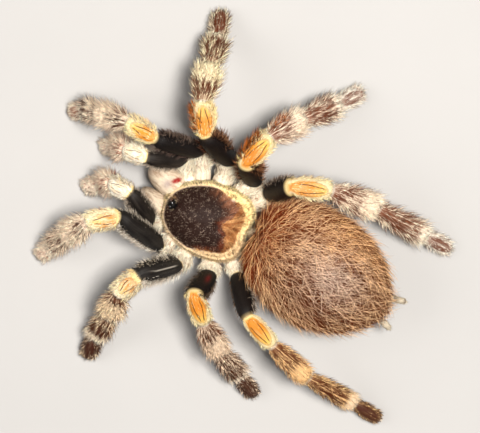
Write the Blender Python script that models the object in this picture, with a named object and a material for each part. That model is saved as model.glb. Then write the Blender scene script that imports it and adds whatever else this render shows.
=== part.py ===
"""A red-kneed tarantula at rest, life size, every part of its body a solid of its own.

Frame: the spider faces -Y, its right side is -X, +Z is up and its soles stand on z = 0.
Lengths are millimetres and angles are degrees until make_object() writes metres.
Places on the body are given from the middle of the carapace; the whole animal is then
moved so that the origin lies under the middle of its bounding box.
"""

import math

import bmesh
import bpy
from mathutils import Matrix, Vector

# ---------------------------------------------------------------- driving dimensions

MM = 0.001                      # one millimetre in metres
GAP = 0.3                       # clear space between neighbouring solids
SIDES = 12                      # corners of a limb's section

CARAPACE_HALF_WIDTH = 9.1
CARAPACE_FRONT = 11.4           # from its middle to its front rim
CARAPACE_REAR = 10.9            # from its middle to the two lobes of its rear rim
CARAPACE_NOTCH = 1.0            # depth of the hollow between the lobes
CARAPACE_YAW = 4.0              # the small turn of the carapace over the legs
CARAPACE_SHIFT = 0.3            # x of its middle
CARAPACE_RIM = 10.0             # height of the rim over the floor
CARAPACE_UNDERSIDE = 8.8        # height of the middle of its underside
CARAPACE_EDGE = 0.3             # thickness of the rim's lower lip
CARAPACE_DOME = 5.0             # rise of the thorax over the rim
CARAPACE_FRONT_POWER = 2.2      # roundness of the outline in front
CARAPACE_REAR_POWER = 3.1       # and behind, where it is blunter
CARAPACE_NARROWING = 0.12       # how much narrower the front is
HEAD_DOME = 1.1                 # further rise of the head
HEAD_HALF_WIDTH = 4.2
PIT_DEPTH = 0.9                 # the fovea, a pit behind the head
PIT_BEHIND = 2.4                # y of the pit
PIT_HALF_SIZE = (1.4, 1.2)
THORAX_HALF_WIDTH = 6.6         # the flesh under the carapace
THORAX_HALF_LENGTH = 8.8
THORAX_MIDDLE = (0.0, 0.2, 7.0)
THORAX_ABOVE = 2.6              # how far it reaches over and under its middle
THORAX_BELOW = 3.6
EYE_MOUND_MIDDLE = (-0.1, -9.1, 14.0)
EYE_MOUND_HALF_SIZE = (1.75, 1.3, 1.9)

# name: (base, side, heading, radius of its bend, girth)
CHELICERAE = {
    "right": ((-3.3, -9.8, 7.9), -1, 12, 4.2, 1.22),
    "left": ((2.3, -9.8, 7.4), 1, -8, 3.9, 0.94),
}
CHELICERA_SLOPES = (25, -80)    # of its back, at its base and at its end
CHELICERA_WIDTHS = (4.4, 5.1, 3.8)
CHELICERA_HEIGHTS = (5.0, 5.6, 4.2)
CHELICERA_CAP = 1.1             # rounding of its end
FANG_SLOPES = (-100, -190)      # it points down, then back under the head
FANG_RADIUS = 2.7
FANG_WIDTHS = (1.7, 1.2, 0.6)
FANG_CAP = 0.3

PEDICEL = ((-0.6, 7.6, 7.4), (-1.5, 13.0, 8.8))
PEDICEL_WIDTHS = (3.2, 3.2, 3.2)
SPINNERETS = {
    "right": ((0.2, 44.6, 8.6), (-1.4, 49.6, 10.0)),
    "left": ((3.4, 44.2, 8.6), (5.5, 49.6, 9.8)),
}
SPINNERET_WIDTHS = (1.7, 1.3, 0.8)
SPINNERET_ARCH = 0.4

ABDOMEN_FRONT = 10.4            # y of its front end
ABDOMEN_LENGTH = 36.8
ABDOMEN_HALF_WIDTH = 13.9
ABDOMEN_HALF_HEIGHT = 11.2
ABDOMEN_HEIGHT = 13.2           # height of its axis over the floor
ABDOMEN_SHIFT = -0.4            # x of its middle
ABDOMEN_YAW = 5.0               # turn of its rear end towards the left
ABDOMEN_FRONT_POWER = 2.5       # bluntness of its front end
ABDOMEN_REAR_POWER = 1.8        # and of its rear end
ABDOMEN_DEEPER_FRONT = 0.06     # how much deeper its front is than its middle
ABDOMEN_REAR_DROP = 1.6         # how far its axis drops towards the rear
ABDOMEN_FRONT_DROP = 1.4        # and towards the pedicel

HIP_HEIGHT = 8.8                # height of the joint of trochanter and femur
PALP_HIP_HEIGHT = 8.4
COXA_HEIGHT = 6.8               # height of a coxa's inner end
SOLE_HEIGHT = 1.3               # height of the middle of a foot's rounded end
TOE = 1.6                       # from that middle to the end of the foot

# Segment lengths of each pair of limbs, from the hip outwards.
LEG_SEGMENTS = ("femur", "patella", "tibia", "metatarsus", "tarsus")
PALP_SEGMENTS = ("femur", "patella", "tibia", "tarsus")
LENGTHS = {
    "leg_1": (15.6, 7.8, 10.8, 8.8, 6.4),
    "leg_2": (14.4, 7.8, 9.8, 10.4, 7.4),
    "leg_3": (12.4, 8.0, 10.0, 12.2, 7.8),
    "leg_4": (13.6, 9.4, 13.2, 17.0, 8.4),
    "palp": (12.4, 6.4, 7.0, 8.0),
}

# Widths of a segment at its start, its middle and its end, out to the tips of the coat.
WIDTHS = {
    "coxa": (3.8, 5.2, 4.3),
    "femur": (4.1, 5.2, 4.8),
    "patella": (4.8, 5.4, 5.2),
    "tibia": (5.2, 6.8, 6.0),
    "metatarsus": (6.0, 6.5, 5.0),
    "tarsus": (5.0, 5.1, 3.8),
}

# How bushy each limb is beside those widths.
GIRTH = {
    "palp_right": 0.80,
    "palp_left": 0.82,
    "leg_1_right": 0.90,
    "leg_1_left": 0.95,
    "leg_2_right": 1.02,
    "leg_2_left": 1.0,
    "leg_3_right": 1.02,
    "leg_3_left": 0.95,
    "leg_4_right": 1.0,
    "leg_4_left": 0.88,
}

# The pose. A limb's heading is turned from straight ahead towards the limb's own side,
# and its rise is over the level. The last segment's rise brings its foot to the floor.
# name: (side, coxa root x y, hip x y, headings, rises)
POSE = {
    "palp_right": (-1, (-3.0, -5.6), (-10.0, -10.6), (-13, -10, -20, -45), (45, -34, -68)),
    "palp_left": (1, (3.0, -5.8), (6.8, -11.5), (-37, 3, 46, 47), (42, -36, -68)),
    "leg_1_right": (-1, (-4.6, -3.8), (-13.6, -7.8), (-2, 8, -16, -25, -43), (43, 14, -48, -64)),
    "leg_1_left": (1, (4.6, -3.8), (11.0, -7.0), (-18, 31, 65, 67, 69), (36, 13, -48, -52)),
    "leg_2_right": (-1, (-5.2, -0.4), (-14.4, -0.4), (26, 59, 77, 81, 74), (48, -3, -36, -53)),
    "leg_2_left": (1, (5.2, -0.8), (13.0, -1.6), (26, 69, 96, 85, 93), (53, -12, -47, -42)),
    "leg_3_right": (-1, (-5.0, 2.8), (-12.4, 6.4), (45, 109, 130, 139, 130), (59, -8, -33, -42)),
    "leg_3_left": (1, (5.0, 2.8), (12.0, 6.2), (62, 134, 139, 146, 149), (67, -20, -27, -43)),
    "leg_4_right": (-1, (-3.4, 5.6), (-10.8, 10.6), (119, 163, 180, 188, 187), (61, -15, -24, -31)),
    "leg_4_left": (1, (3.4, 5.6), (9.4, 11.8), (132, 154, 158, 169, 170), (51, -11, -23, -31)),
}

COLOURS = {
    "carapace": (0.055, 0.032, 0.020),
    "cream": (0.62, 0.46, 0.27),
    "dark": (0.018, 0.013, 0.012),
    "orange": (0.62, 0.20, 0.035),
    "brown": (0.16, 0.085, 0.045),
    "grey": (0.40, 0.30, 0.22),
    "horn": (0.03, 0.008, 0.006),
}
SEGMENT_COLOUR = {
    "femur": "dark",
    "patella": "orange",
    "tibia": "brown",
    "metatarsus": "grey",
    "tarsus": "dark",
}


# ---------------------------------------------------------------- scene and materials

def clear_scene():
    """Remove whatever the scene starts with."""
    for old in list(bpy.data.objects):
        bpy.data.objects.remove(old, do_unlink=True)


def new_collection(name):
    """Return a new collection linked to the scene."""
    collection = bpy.data.collections.new(name)
    bpy.context.scene.collection.children.link(collection)
    return collection


def new_material(name, colour, roughness=0.7):
    """Return a Principled BSDF material of one colour."""
    material = bpy.data.materials.new(name)
    material.use_nodes = True
    shader = material.node_tree.nodes["Principled BSDF"]
    shader.inputs["Base Color"].default_value = (*colour, 1.0)
    shader.inputs["Roughness"].default_value = roughness
    shader.inputs["Metallic"].default_value = 0.0
    material.diffuse_color = (*colour, 1.0)
    return material


def make_object(name, bm, colour, collection, root):
    """Write a bmesh in millimetres as a named object in metres, parented to root."""
    bmesh.ops.recalc_face_normals(bm, faces=bm.faces)
    bmesh.ops.scale(bm, vec=(MM, MM, MM), verts=bm.verts)
    mesh = bpy.data.meshes.new(name)
    bm.to_mesh(mesh)
    bm.free()
    mesh.shade_smooth()
    mesh.set_sharp_from_angle(angle=math.radians(50))
    mesh.materials.append(new_material(name, COLOURS[colour]))
    result = bpy.data.objects.new(name, mesh)
    result.parent = root
    collection.objects.link(result)
    return result


def hide_cutter(cutter):
    """Show an object as a wire and keep it out of the model."""
    cutter.hide_render = True
    cutter.display_type = "WIRE"


def make_cutter(source, name, collection, root, growth=GAP):
    """Copy an object's mesh, grow it along its normals and keep it as a hidden cutter."""
    mesh = source.data.copy()
    bm = bmesh.new()
    bm.from_mesh(mesh)
    for vertex in bm.verts:
        vertex.co += vertex.normal * growth * MM
    bm.to_mesh(mesh)
    bm.free()
    cutter = bpy.data.objects.new(name, mesh)
    cutter.parent = root
    hide_cutter(cutter)
    collection.objects.link(cutter)
    return cutter


def add_boolean(target, other, operation):
    """Join another object to the target, or cut the target with it."""
    modifier = target.modifiers.new(f"{operation.lower()}_{other.name}", "BOOLEAN")
    modifier.operation = operation
    modifier.object = other
    modifier.solver = "EXACT"


# ---------------------------------------------------------------- shapes

def direction(side, heading, rise):
    """Unit vector of a heading from -Y towards one side, and a rise over the level."""
    turn = math.radians(heading)
    lift = math.radians(rise)
    return Vector((side * math.sin(turn) * math.cos(lift),
                   -math.cos(turn) * math.cos(lift),
                   math.sin(lift)))


def section_axes(along):
    """The sideways and upward axes of a limb's section: up is as near +Z as it can be."""
    across = along.cross(Vector((0, 0, 1))).normalized()
    return across, across.cross(along).normalized()


def three_point(values, t):
    """Smooth curve through a start, a middle and an end value."""
    start, middle, end = values
    bulge = middle - 0.5 * (start + end)
    return start + (end - start) * t + bulge * math.sin(math.pi * t)


def mitred_ring(point, along, width, normal, offset):
    """A round section whose corners are slid along the limb onto the joint's plane."""
    across, up = section_axes(along)
    ring = []
    for corner in range(SIDES):
        angle = 2 * math.pi * corner / SIDES
        spoke = 0.5 * width * (across * math.cos(angle) + up * math.sin(angle))
        slide = (offset - spoke.dot(normal)) / along.dot(normal)
        ring.append(point + spoke + along * slide)
    return ring


def loft(rings):
    """Join rings of equally many corners by quads, and close the two ends."""
    bm = bmesh.new()
    loops = [[bm.verts.new(corner) for corner in ring] for ring in rings]
    for here, there in zip(loops, loops[1:]):
        for corner in range(len(here)):
            following = (corner + 1) % len(here)
            bm.faces.new((here[corner], here[following], there[following], there[corner]))
    bm.faces.new(reversed(loops[0]))
    bm.faces.new(loops[-1])
    return bm


def segment(start, end, widths, start_normal, end_normal, steps=(0.0, 0.3, 0.7, 1.0)):
    """One limb segment between two joint planes, swelling by its three widths."""
    along = (end - start).normalized()
    rings = []
    for t in steps:
        width = three_point(widths, t)
        head = mitred_ring(start, along, width, start_normal, 0.5 * GAP)
        tail = mitred_ring(end, along, width, end_normal, -0.5 * GAP)
        rings.append([a.lerp(b, t) for a, b in zip(head, tail)])
    return loft(rings)


def foot(start, end, widths, start_normal):
    """The last segment: a blunt rounded end, cut flat where it stands on the floor."""
    along = (end - start).normalized()
    rings = []
    for t in (0.0, 0.3, 0.65, 1.0):
        width = three_point(widths, t)
        head = mitred_ring(start, along, width, start_normal, 0.5 * GAP)
        tail = mitred_ring(end, along, width, along, 0.0)
        rings.append([a.lerp(b, t) for a, b in zip(head, tail)])
    for turn in (30, 55, 78):
        angle = math.radians(turn)
        middle = end + along * TOE * math.sin(angle)
        rings.append(mitred_ring(middle, along, widths[2] * math.cos(angle), along, 0.0))
    bm = loft(rings)
    geometry = bm.verts[:] + bm.edges[:] + bm.faces[:]
    bmesh.ops.bisect_plane(bm, geom=geometry, plane_co=(0, 0, 0), plane_no=(0, 0, -1), clear_outer=True)
    open_edges = [edge for edge in bm.edges if edge.is_boundary]
    bmesh.ops.contextual_create(bm, geom=open_edges)
    return bm


def shaped_ball(shape, around, along):
    """A ball with poles on the Y axis, each vertex moved by shape(t, angle).

    t runs from -1 at the front pole to 1 at the rear, and angle turns around Y.
    """
    bm = bmesh.new()
    bmesh.ops.create_uvsphere(bm, u_segments=around, v_segments=along, radius=1.0)
    bmesh.ops.rotate(bm, verts=bm.verts, matrix=Matrix.Rotation(math.radians(-90), 3, "X"))
    for vertex in bm.verts:
        x, t, z = vertex.co
        vertex.co = shape(max(-1.0, min(1.0, t)), math.atan2(z, x))
    return bm


def bend(path, t):
    """Place and slope at a share t of an arc that bends in an upright plane.

    path is (start, side, heading, first slope, last slope, radius).
    """
    start, side, heading, first, last, radius = path
    ahead = direction(side, heading, 0)
    first, slope = math.radians(first), math.radians(first + (last - first) * t)
    turn = 1 if last > path[3] else -1
    reach = turn * radius * (math.sin(slope) - math.sin(first))
    climb = turn * radius * (math.cos(first) - math.cos(slope))
    return Vector(start) + ahead * reach + Vector((0, 0, climb)), slope


def bent_limb(path, widths, heights, steps, cap):
    """A jaw or fang: oval sections carried along an arc, closed by a rounded end."""
    ahead = direction(path[1], path[2], 0)
    up = Vector((0, 0, 1))
    across = ahead.cross(up)

    def oval(middle, slope, width, height):
        lift = up * math.cos(slope) - ahead * math.sin(slope)
        turns = [2 * math.pi * corner / SIDES for corner in range(SIDES)]
        return [middle + across * 0.5 * width * math.cos(a) + lift * 0.5 * height * math.sin(a)
                for a in turns]

    rings = []
    for step in range(steps + 1):
        t = step / steps
        middle, slope = bend(path, t)
        rings.append(oval(middle, slope, three_point(widths, t), three_point(heights, t)))
    along = ahead * math.cos(slope) + up * math.sin(slope)
    for turn in (35, 65):
        angle = math.radians(turn)
        end = middle + along * cap * math.sin(angle)
        rings.append(oval(end, slope, widths[2] * math.cos(angle), heights[2] * math.cos(angle)))
    return loft(rings)


# ---------------------------------------------------------------- the body

def smooth(low, high, value):
    """Smoothstep from 0 at low to 1 at high."""
    t = max(0.0, min(1.0, (value - low) / (high - low)))
    return t * t * (3 - 2 * t)


def carapace_edge(turn):
    """Distance from the carapace's middle to its rim: narrower in front, lobed behind."""
    ahead = math.sin(turn) < 0
    power = CARAPACE_FRONT_POWER if ahead else CARAPACE_REAR_POWER
    reach = CARAPACE_FRONT if ahead else CARAPACE_REAR
    width = CARAPACE_HALF_WIDTH * (1 - CARAPACE_NARROWING * smooth(0.0, 1.0, -math.sin(turn)))
    edge = (abs(math.cos(turn) / width) ** power + abs(math.sin(turn) / reach) ** power) ** (-1 / power)
    notch = 0 if ahead else CARAPACE_NOTCH * math.exp(-(math.cos(turn) / 0.28) ** 2)
    return edge - notch


def carapace_top(x, y, share):
    """Height of the carapace at a share of the way to its rim: dome, raised head and pit."""
    dome = CARAPACE_DOME * (1 - share ** 2.4) ** 0.8
    head = HEAD_DOME * math.exp(-(x / HEAD_HALF_WIDTH) ** 2) * smooth(1.0, -6.0, y) * (1 - share ** 6)
    across, behind = PIT_HALF_SIZE
    pit = PIT_DEPTH * math.exp(-(x / across) ** 2 - ((y - PIT_BEHIND) / behind) ** 2)
    return CARAPACE_RIM + dome + head - pit


def place_carapace(x, y, z):
    """Turn and shift a point of the carapace to where it sits on the animal."""
    placed = Matrix.Rotation(math.radians(CARAPACE_YAW), 3, "Z") @ Vector((x, y, z))
    return placed + Vector((CARAPACE_SHIFT, 0, 0))


def carapace():
    """A domed shell plate with a thick rim and a hollow underside."""
    bm = bmesh.new()
    bmesh.ops.create_uvsphere(bm, u_segments=26, v_segments=12, radius=1.0)
    for vertex in bm.verts:
        x, y, z = vertex.co
        share = min(1.0, math.hypot(x, y))
        turn = math.atan2(y, x)
        reach = share * carapace_edge(turn)
        x, y = reach * math.cos(turn), reach * math.sin(turn)
        if z > -0.05:
            height = carapace_top(x, y, share)
        else:
            rim = CARAPACE_RIM - CARAPACE_EDGE
            height = CARAPACE_UNDERSIDE + (rim - CARAPACE_UNDERSIDE) * share ** 4
        vertex.co = place_carapace(x, y, height)
    return bm


def space_under_carapace():
    """A prism over the carapace's outline that trims the flesh below it."""
    corners = 28
    rings = []
    for height in (CARAPACE_UNDERSIDE - GAP, CARAPACE_RIM + 2 * CARAPACE_DOME):
        ring = []
        for corner in range(corners):
            turn = 2 * math.pi * corner / corners
            reach = carapace_edge(turn) + GAP
            ring.append(place_carapace(reach * math.cos(turn), reach * math.sin(turn), height))
        rings.append(ring)
    return loft(rings)


def eye_mound():
    """The low boss that carries the eight eyes."""
    bm = bmesh.new()
    bmesh.ops.create_uvsphere(bm, u_segments=14, v_segments=8, radius=1.0)
    bmesh.ops.scale(bm, vec=EYE_MOUND_HALF_SIZE, verts=bm.verts)
    bmesh.ops.translate(bm, vec=EYE_MOUND_MIDDLE, verts=bm.verts)
    return bm


def abdomen():
    """The egg of the abdomen: blunt in front, tapering behind, deepest before its middle."""
    middle = ABDOMEN_FRONT + 0.5 * ABDOMEN_LENGTH

    def shape(t, angle):
        power = ABDOMEN_FRONT_POWER if t < 0 else ABDOMEN_REAR_POWER
        round_off = max(0.0, 1 - abs(t) ** power) ** (1 / power)
        width = ABDOMEN_HALF_WIDTH * round_off
        height = ABDOMEN_HALF_HEIGHT * round_off * (1 - ABDOMEN_DEEPER_FRONT * t)
        axis = (ABDOMEN_HEIGHT - ABDOMEN_REAR_DROP * smooth(0.0, 1.0, t)
                - ABDOMEN_FRONT_DROP * smooth(-0.3, -1.0, t))
        sway = 0.5 * ABDOMEN_LENGTH * t * math.tan(math.radians(ABDOMEN_YAW))
        return (ABDOMEN_SHIFT + sway + width * math.cos(angle),
                middle + 0.5 * ABDOMEN_LENGTH * t,
                axis + height * math.sin(angle))

    return shaped_ball(shape, 24, 17)


def make_head_parts(collection, cutters, root, around):
    """The two chelicerae with their folded fangs, kept clear of the solids around them."""
    for name, (start, side, heading, radius, girth) in CHELICERAE.items():
        path = (start, side, heading, *CHELICERA_SLOPES, radius)
        widths = [girth * width for width in CHELICERA_WIDTHS]
        jaw_mesh = bent_limb(path, widths, CHELICERA_HEIGHTS, 5, CHELICERA_CAP)
        jaw = make_object(f"chelicera_{name}", jaw_mesh, "grey", collection, root)
        grown_jaw = make_cutter(jaw, f"chelicera_{name}_clearance", cutters, root)
        for other in around:
            add_boolean(jaw, other, "DIFFERENCE")
        fang_path = (bend(path, 1.0)[0], side, heading, *FANG_SLOPES, FANG_RADIUS)
        fang_mesh = bent_limb(fang_path, FANG_WIDTHS, FANG_WIDTHS, 6, FANG_CAP)
        fang = make_object(f"fang_{name}", fang_mesh, "horn", collection, root)
        add_boolean(fang, grown_jaw, "DIFFERENCE")


def thorax_core():
    """The sternum and the flesh under the carapace that the coxae grow from."""

    def shape(t, angle):
        round_off = math.sqrt(max(0.0, 1 - t * t))
        depth = THORAX_ABOVE if angle > 0 else THORAX_BELOW
        x, y, z = THORAX_MIDDLE
        return (x + THORAX_HALF_WIDTH * round_off * math.cos(angle),
                y + THORAX_HALF_LENGTH * t,
                z + depth * round_off * math.sin(angle))

    return shaped_ball(shape, 16, 10)


def straight_limb(base, tip, widths, rise=0.0):
    """A short finger between two points, a little arched, with a blunt end."""
    start, end = Vector(base), Vector(tip)
    along = (end - start).normalized()
    rings = []
    for t in (0.0, 0.35, 0.7, 1.0):
        middle = start.lerp(end, t) + Vector((0, 0, rise * math.sin(math.pi * t)))
        rings.append(mitred_ring(middle, along, three_point(widths, t), along, 0.0))
    rings.append(mitred_ring(end + along * 0.3 * widths[2], along, 0.6 * widths[2], along, 0.0))
    return loft(rings)


# ---------------------------------------------------------------- the limbs

def limb_joints(name):
    """Joint middles of one limb: coxa root, hip, then the end of each segment."""
    side, root, hip, headings, rises = POSE[name]
    pair = name.rsplit("_", 1)[0]
    height = PALP_HIP_HEIGHT if pair == "palp" else HIP_HEIGHT
    points = [Vector((*root, COXA_HEIGHT)), Vector((*hip, height))]
    lengths = LENGTHS[pair]
    for length, heading, rise in zip(lengths, headings, rises):
        points.append(points[-1] + length * direction(side, heading, rise))
    reach = lengths[-1] - TOE
    rise = -math.degrees(math.asin((points[-1].z - SOLE_HEIGHT) / reach))
    points.append(points[-1] + reach * direction(side, headings[-1], rise))
    return points


def joint_normals(points):
    """The plane of each joint halves the bend between its two segments."""
    ways = [(b - a).normalized() for a, b in zip(points, points[1:])]
    inner = [(a + b).normalized() for a, b in zip(ways, ways[1:])]
    return [ways[0], *inner, ways[-1]]


def make_limb(name, collection, root):
    """Build a limb's segments as nodes, and return the bmesh of its coxa."""
    pair = name.rsplit("_", 1)[0]
    kinds = PALP_SEGMENTS if pair == "palp" else LEG_SEGMENTS
    girth = GIRTH[name]
    points = limb_joints(name)
    normals = joint_normals(points)
    for index, kind in enumerate(kinds, start=1):
        widths = [girth * width for width in WIDTHS[kind]]
        start, end = points[index], points[index + 1]
        if kind == "tarsus":
            if pair == "palp":
                widths[0] = girth * WIDTHS["tibia"][2]
            bm = foot(start, end, widths, normals[index])
        else:
            bm = segment(start, end, widths, normals[index], normals[index + 1])
        make_object(f"{name}_{kind}", bm, SEGMENT_COLOUR[kind], collection, root)
    widths = [girth * width for width in WIDTHS["coxa"]]
    return segment(points[0], points[1], widths, normals[0], normals[1], steps=(0.0, 0.5, 1.0))


# ---------------------------------------------------------------- assembly

def centre_on_floor(collection, root):
    """Move the animal so that the origin lies under the middle of its bounding box."""
    graph = bpy.context.evaluated_depsgraph_get()
    corners = []
    for node in collection.objects:
        if node.type != "MESH":
            continue
        shown = node.evaluated_get(graph)
        corners += [shown.matrix_world @ Vector(corner) for corner in shown.bound_box]
    for axis in (0, 1):
        values = [corner[axis] for corner in corners]
        root.location[axis] = -0.5 * (min(values) + max(values))


def build():
    """Make every node of the tarantula."""
    clear_scene()
    parts = new_collection("tarantula")
    cutters = new_collection("cutters")
    root = bpy.data.objects.new("tarantula_root", None)
    parts.objects.link(root)

    shell = make_object("carapace", carapace(), "carapace", parts, root)
    belly = make_object("abdomen", abdomen(), "brown", parts, root)
    thorax = make_object("sternum_and_coxae", thorax_core(), "cream", parts, root)
    mound = make_object("eye_mound", eye_mound(), "horn", parts, root)
    grown_shell = make_cutter(shell, "carapace_clearance", cutters, root)
    grown_belly = make_cutter(belly, "abdomen_clearance", cutters, root)
    under_shell = make_object("space_under_carapace", space_under_carapace(), "cream", cutters, root)
    hide_cutter(under_shell)
    add_boolean(mound, grown_shell, "DIFFERENCE")

    grown_core = make_cutter(thorax, "core_clearance", cutters, root)
    around_jaws = [grown_shell, grown_core]
    for name in POSE:
        coxa = make_object(f"{name}_coxa", make_limb(name, parts, root), "cream", cutters, root)
        hide_cutter(coxa)
        add_boolean(thorax, coxa, "UNION")
        if name.startswith("palp"):
            around_jaws.append(make_cutter(coxa, f"{name}_coxa_clearance", cutters, root))
    add_boolean(thorax, under_shell, "DIFFERENCE")
    add_boolean(thorax, grown_belly, "DIFFERENCE")

    make_head_parts(parts, cutters, root, around_jaws)
    pedicel = make_object("pedicel", straight_limb(*PEDICEL, PEDICEL_WIDTHS), "cream", parts, root)
    for other in (grown_core, grown_shell, grown_belly):
        add_boolean(pedicel, other, "DIFFERENCE")
    for name, (base, tip) in SPINNERETS.items():
        finger = straight_limb(base, tip, SPINNERET_WIDTHS, SPINNERET_ARCH)
        spinneret = make_object(f"spinneret_{name}", finger, "grey", parts, root)
        add_boolean(spinneret, grown_belly, "DIFFERENCE")

    bpy.context.view_layer.update()
    centre_on_floor(parts, root)


build()
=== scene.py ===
# %% [markdown]
# # A red-kneed tarantula, at life size
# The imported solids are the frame: they say where each leg segment, plate and joint is.
# This script lays one skin through them and grows the animal's hair on that skin as
# thin solid spikes, because hair made of real mesh keeps its look in every program.
# Lengths are in millimetres, measured from the middle of the body at floor level.

# %% The frame and the body's own middle
from collections import namedtuple

import bpy
import numpy as np
from mathutils import Matrix, Vector


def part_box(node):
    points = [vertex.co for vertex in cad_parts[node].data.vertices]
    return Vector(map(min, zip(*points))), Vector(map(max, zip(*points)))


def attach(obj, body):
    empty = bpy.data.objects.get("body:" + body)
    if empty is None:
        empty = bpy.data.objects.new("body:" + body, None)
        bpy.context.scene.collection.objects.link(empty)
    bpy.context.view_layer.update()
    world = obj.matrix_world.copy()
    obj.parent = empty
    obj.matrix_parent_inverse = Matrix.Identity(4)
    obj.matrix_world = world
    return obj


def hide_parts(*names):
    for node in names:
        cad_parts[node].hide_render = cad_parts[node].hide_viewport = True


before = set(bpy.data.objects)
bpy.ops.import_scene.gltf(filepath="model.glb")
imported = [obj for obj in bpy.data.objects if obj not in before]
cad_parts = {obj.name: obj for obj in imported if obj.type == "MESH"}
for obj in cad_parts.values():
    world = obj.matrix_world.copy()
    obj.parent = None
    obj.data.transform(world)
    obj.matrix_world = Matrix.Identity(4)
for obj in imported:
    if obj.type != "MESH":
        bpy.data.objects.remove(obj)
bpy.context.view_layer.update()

MM = 0.001
CARAPACE_OFF_MIDDLE = (0.23, -0.43, 0.0)   # its turn and shift move its box off the body's middle
plate_low, plate_high = (np.array(corner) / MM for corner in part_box("carapace"))
MIDDLE = 0.5 * (plate_low + plate_high) * (1, 1, 0) - CARAPACE_OFF_MIDDLE
print("middle of the body, mm:", MIDDLE.round(3))

# %% [markdown]
# ## Small helpers
# Everything grows from whole arrays of points, so a few short functions for arrays are
# enough: a unit vector, smooth steps and bells, a colour, rings round a line, and soft
# random ripples that vary the coat from place to place.

# %% Array helpers
def unit(vectors):
    """Each vector divided by its own length."""
    return vectors / np.maximum(np.linalg.norm(vectors, axis=-1, keepdims=True), 1e-9)


def smooth(low, high, value):
    """0 below low, 1 above high, and 3t^2 - 2t^3 between them."""
    t = np.clip((value - low) / (high - low), 0, 1)
    return t * t * (3 - 2 * t)


def between(rise, fall, value):
    """0, then 1 past the two ends of the rise, then 0 again past those of the fall."""
    return smooth(*rise, value) * smooth(*fall[::-1], value)


def bell(*values):
    """1 where all values are 0, and nearly 0 where one is 2: exp(-(the sum of their squares))."""
    return np.exp(-sum(value ** 2 for value in values))


def tint(red, green, blue):
    """A display colour of 0 to 255, as the linear light that a shader wants."""
    return (np.array([red, green, blue]) / 255.0) ** 2.2


def mix(first, second, share):
    """first where share is 0, second where it is 1; share has one value for each point."""
    return first + (second - first) * np.asarray(share)[..., None]


def curve_through(values, t, power=1.0):
    """Start, middle and end values joined by a straight run and a half wave to a power."""
    start, middle, end = values
    return start + (end - start) * t + (middle - 0.5 * (start + end)) * np.sin(np.pi * t) ** power


def turns(count):
    """The angles of `count` points round a ring."""
    return 2 * np.pi * np.arange(count) / count


def rings(centres, across, up, half_widths, half_heights, columns):
    """Rings round a line of centres: centre + across w cos(turn) + up h sin(turn)."""
    turn = turns(columns)
    return (centres[:, None] + across[..., None, :] * np.outer(half_widths, np.cos(turn))[..., None]
            + up[..., None, :] * np.outer(half_heights, np.sin(turn))[..., None])


def axes_of(ways):
    """Sideways and upward axes of a section; up is as near to straight up as it can be."""
    across = unit(np.cross(ways, (0.0, 0.0, 1.0)))
    return across, np.cross(across, ways)


def ripple(points, size, seed, waves=9):
    """Soft noise from -1 to 1: a sum of sine waves about `size` mm long, in random directions."""
    rng = np.random.default_rng(seed)
    ways = unit(rng.normal(size=(waves, 3))) * (2 * np.pi / size) * rng.uniform(0.6, 1.5, (waves, 1))
    phases = rng.uniform(0, 2 * np.pi, waves)
    return np.clip(np.sin(points @ ways.T + phases).sum(-1) / np.sqrt(waves), -1.5, 1.5) / 1.5


# %% [markdown]
# ## Surfaces
# Each part of the body is a grid: rows run along it and columns turn round it. The
# grid knows its outward normals and the way its rows run, which is the way hair lies.
# A point closes each end, so that the part is a closed shell. The parts could also be
# sculpted, but a formula gives the same shape on each run and can be read and changed.

# %% A closed grid surface
WHOLE = (0.004, 0.004, 0.99, 0.99)      # the rectangle of a surface that has a sheet to itself
Roots = namedtuple("Roots", "row column point normal lie place")


def sheet_places(count, columns):
    """Rectangles of a sheet cut into rows of `columns`, with a small margin."""
    width, height = 1 / columns, 1 / -(-count // columns)
    return [(0.004 + (n % columns) * width, 0.004 + (n // columns) * height,
             width - 0.012, height - 0.012) for n in range(count)]


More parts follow.
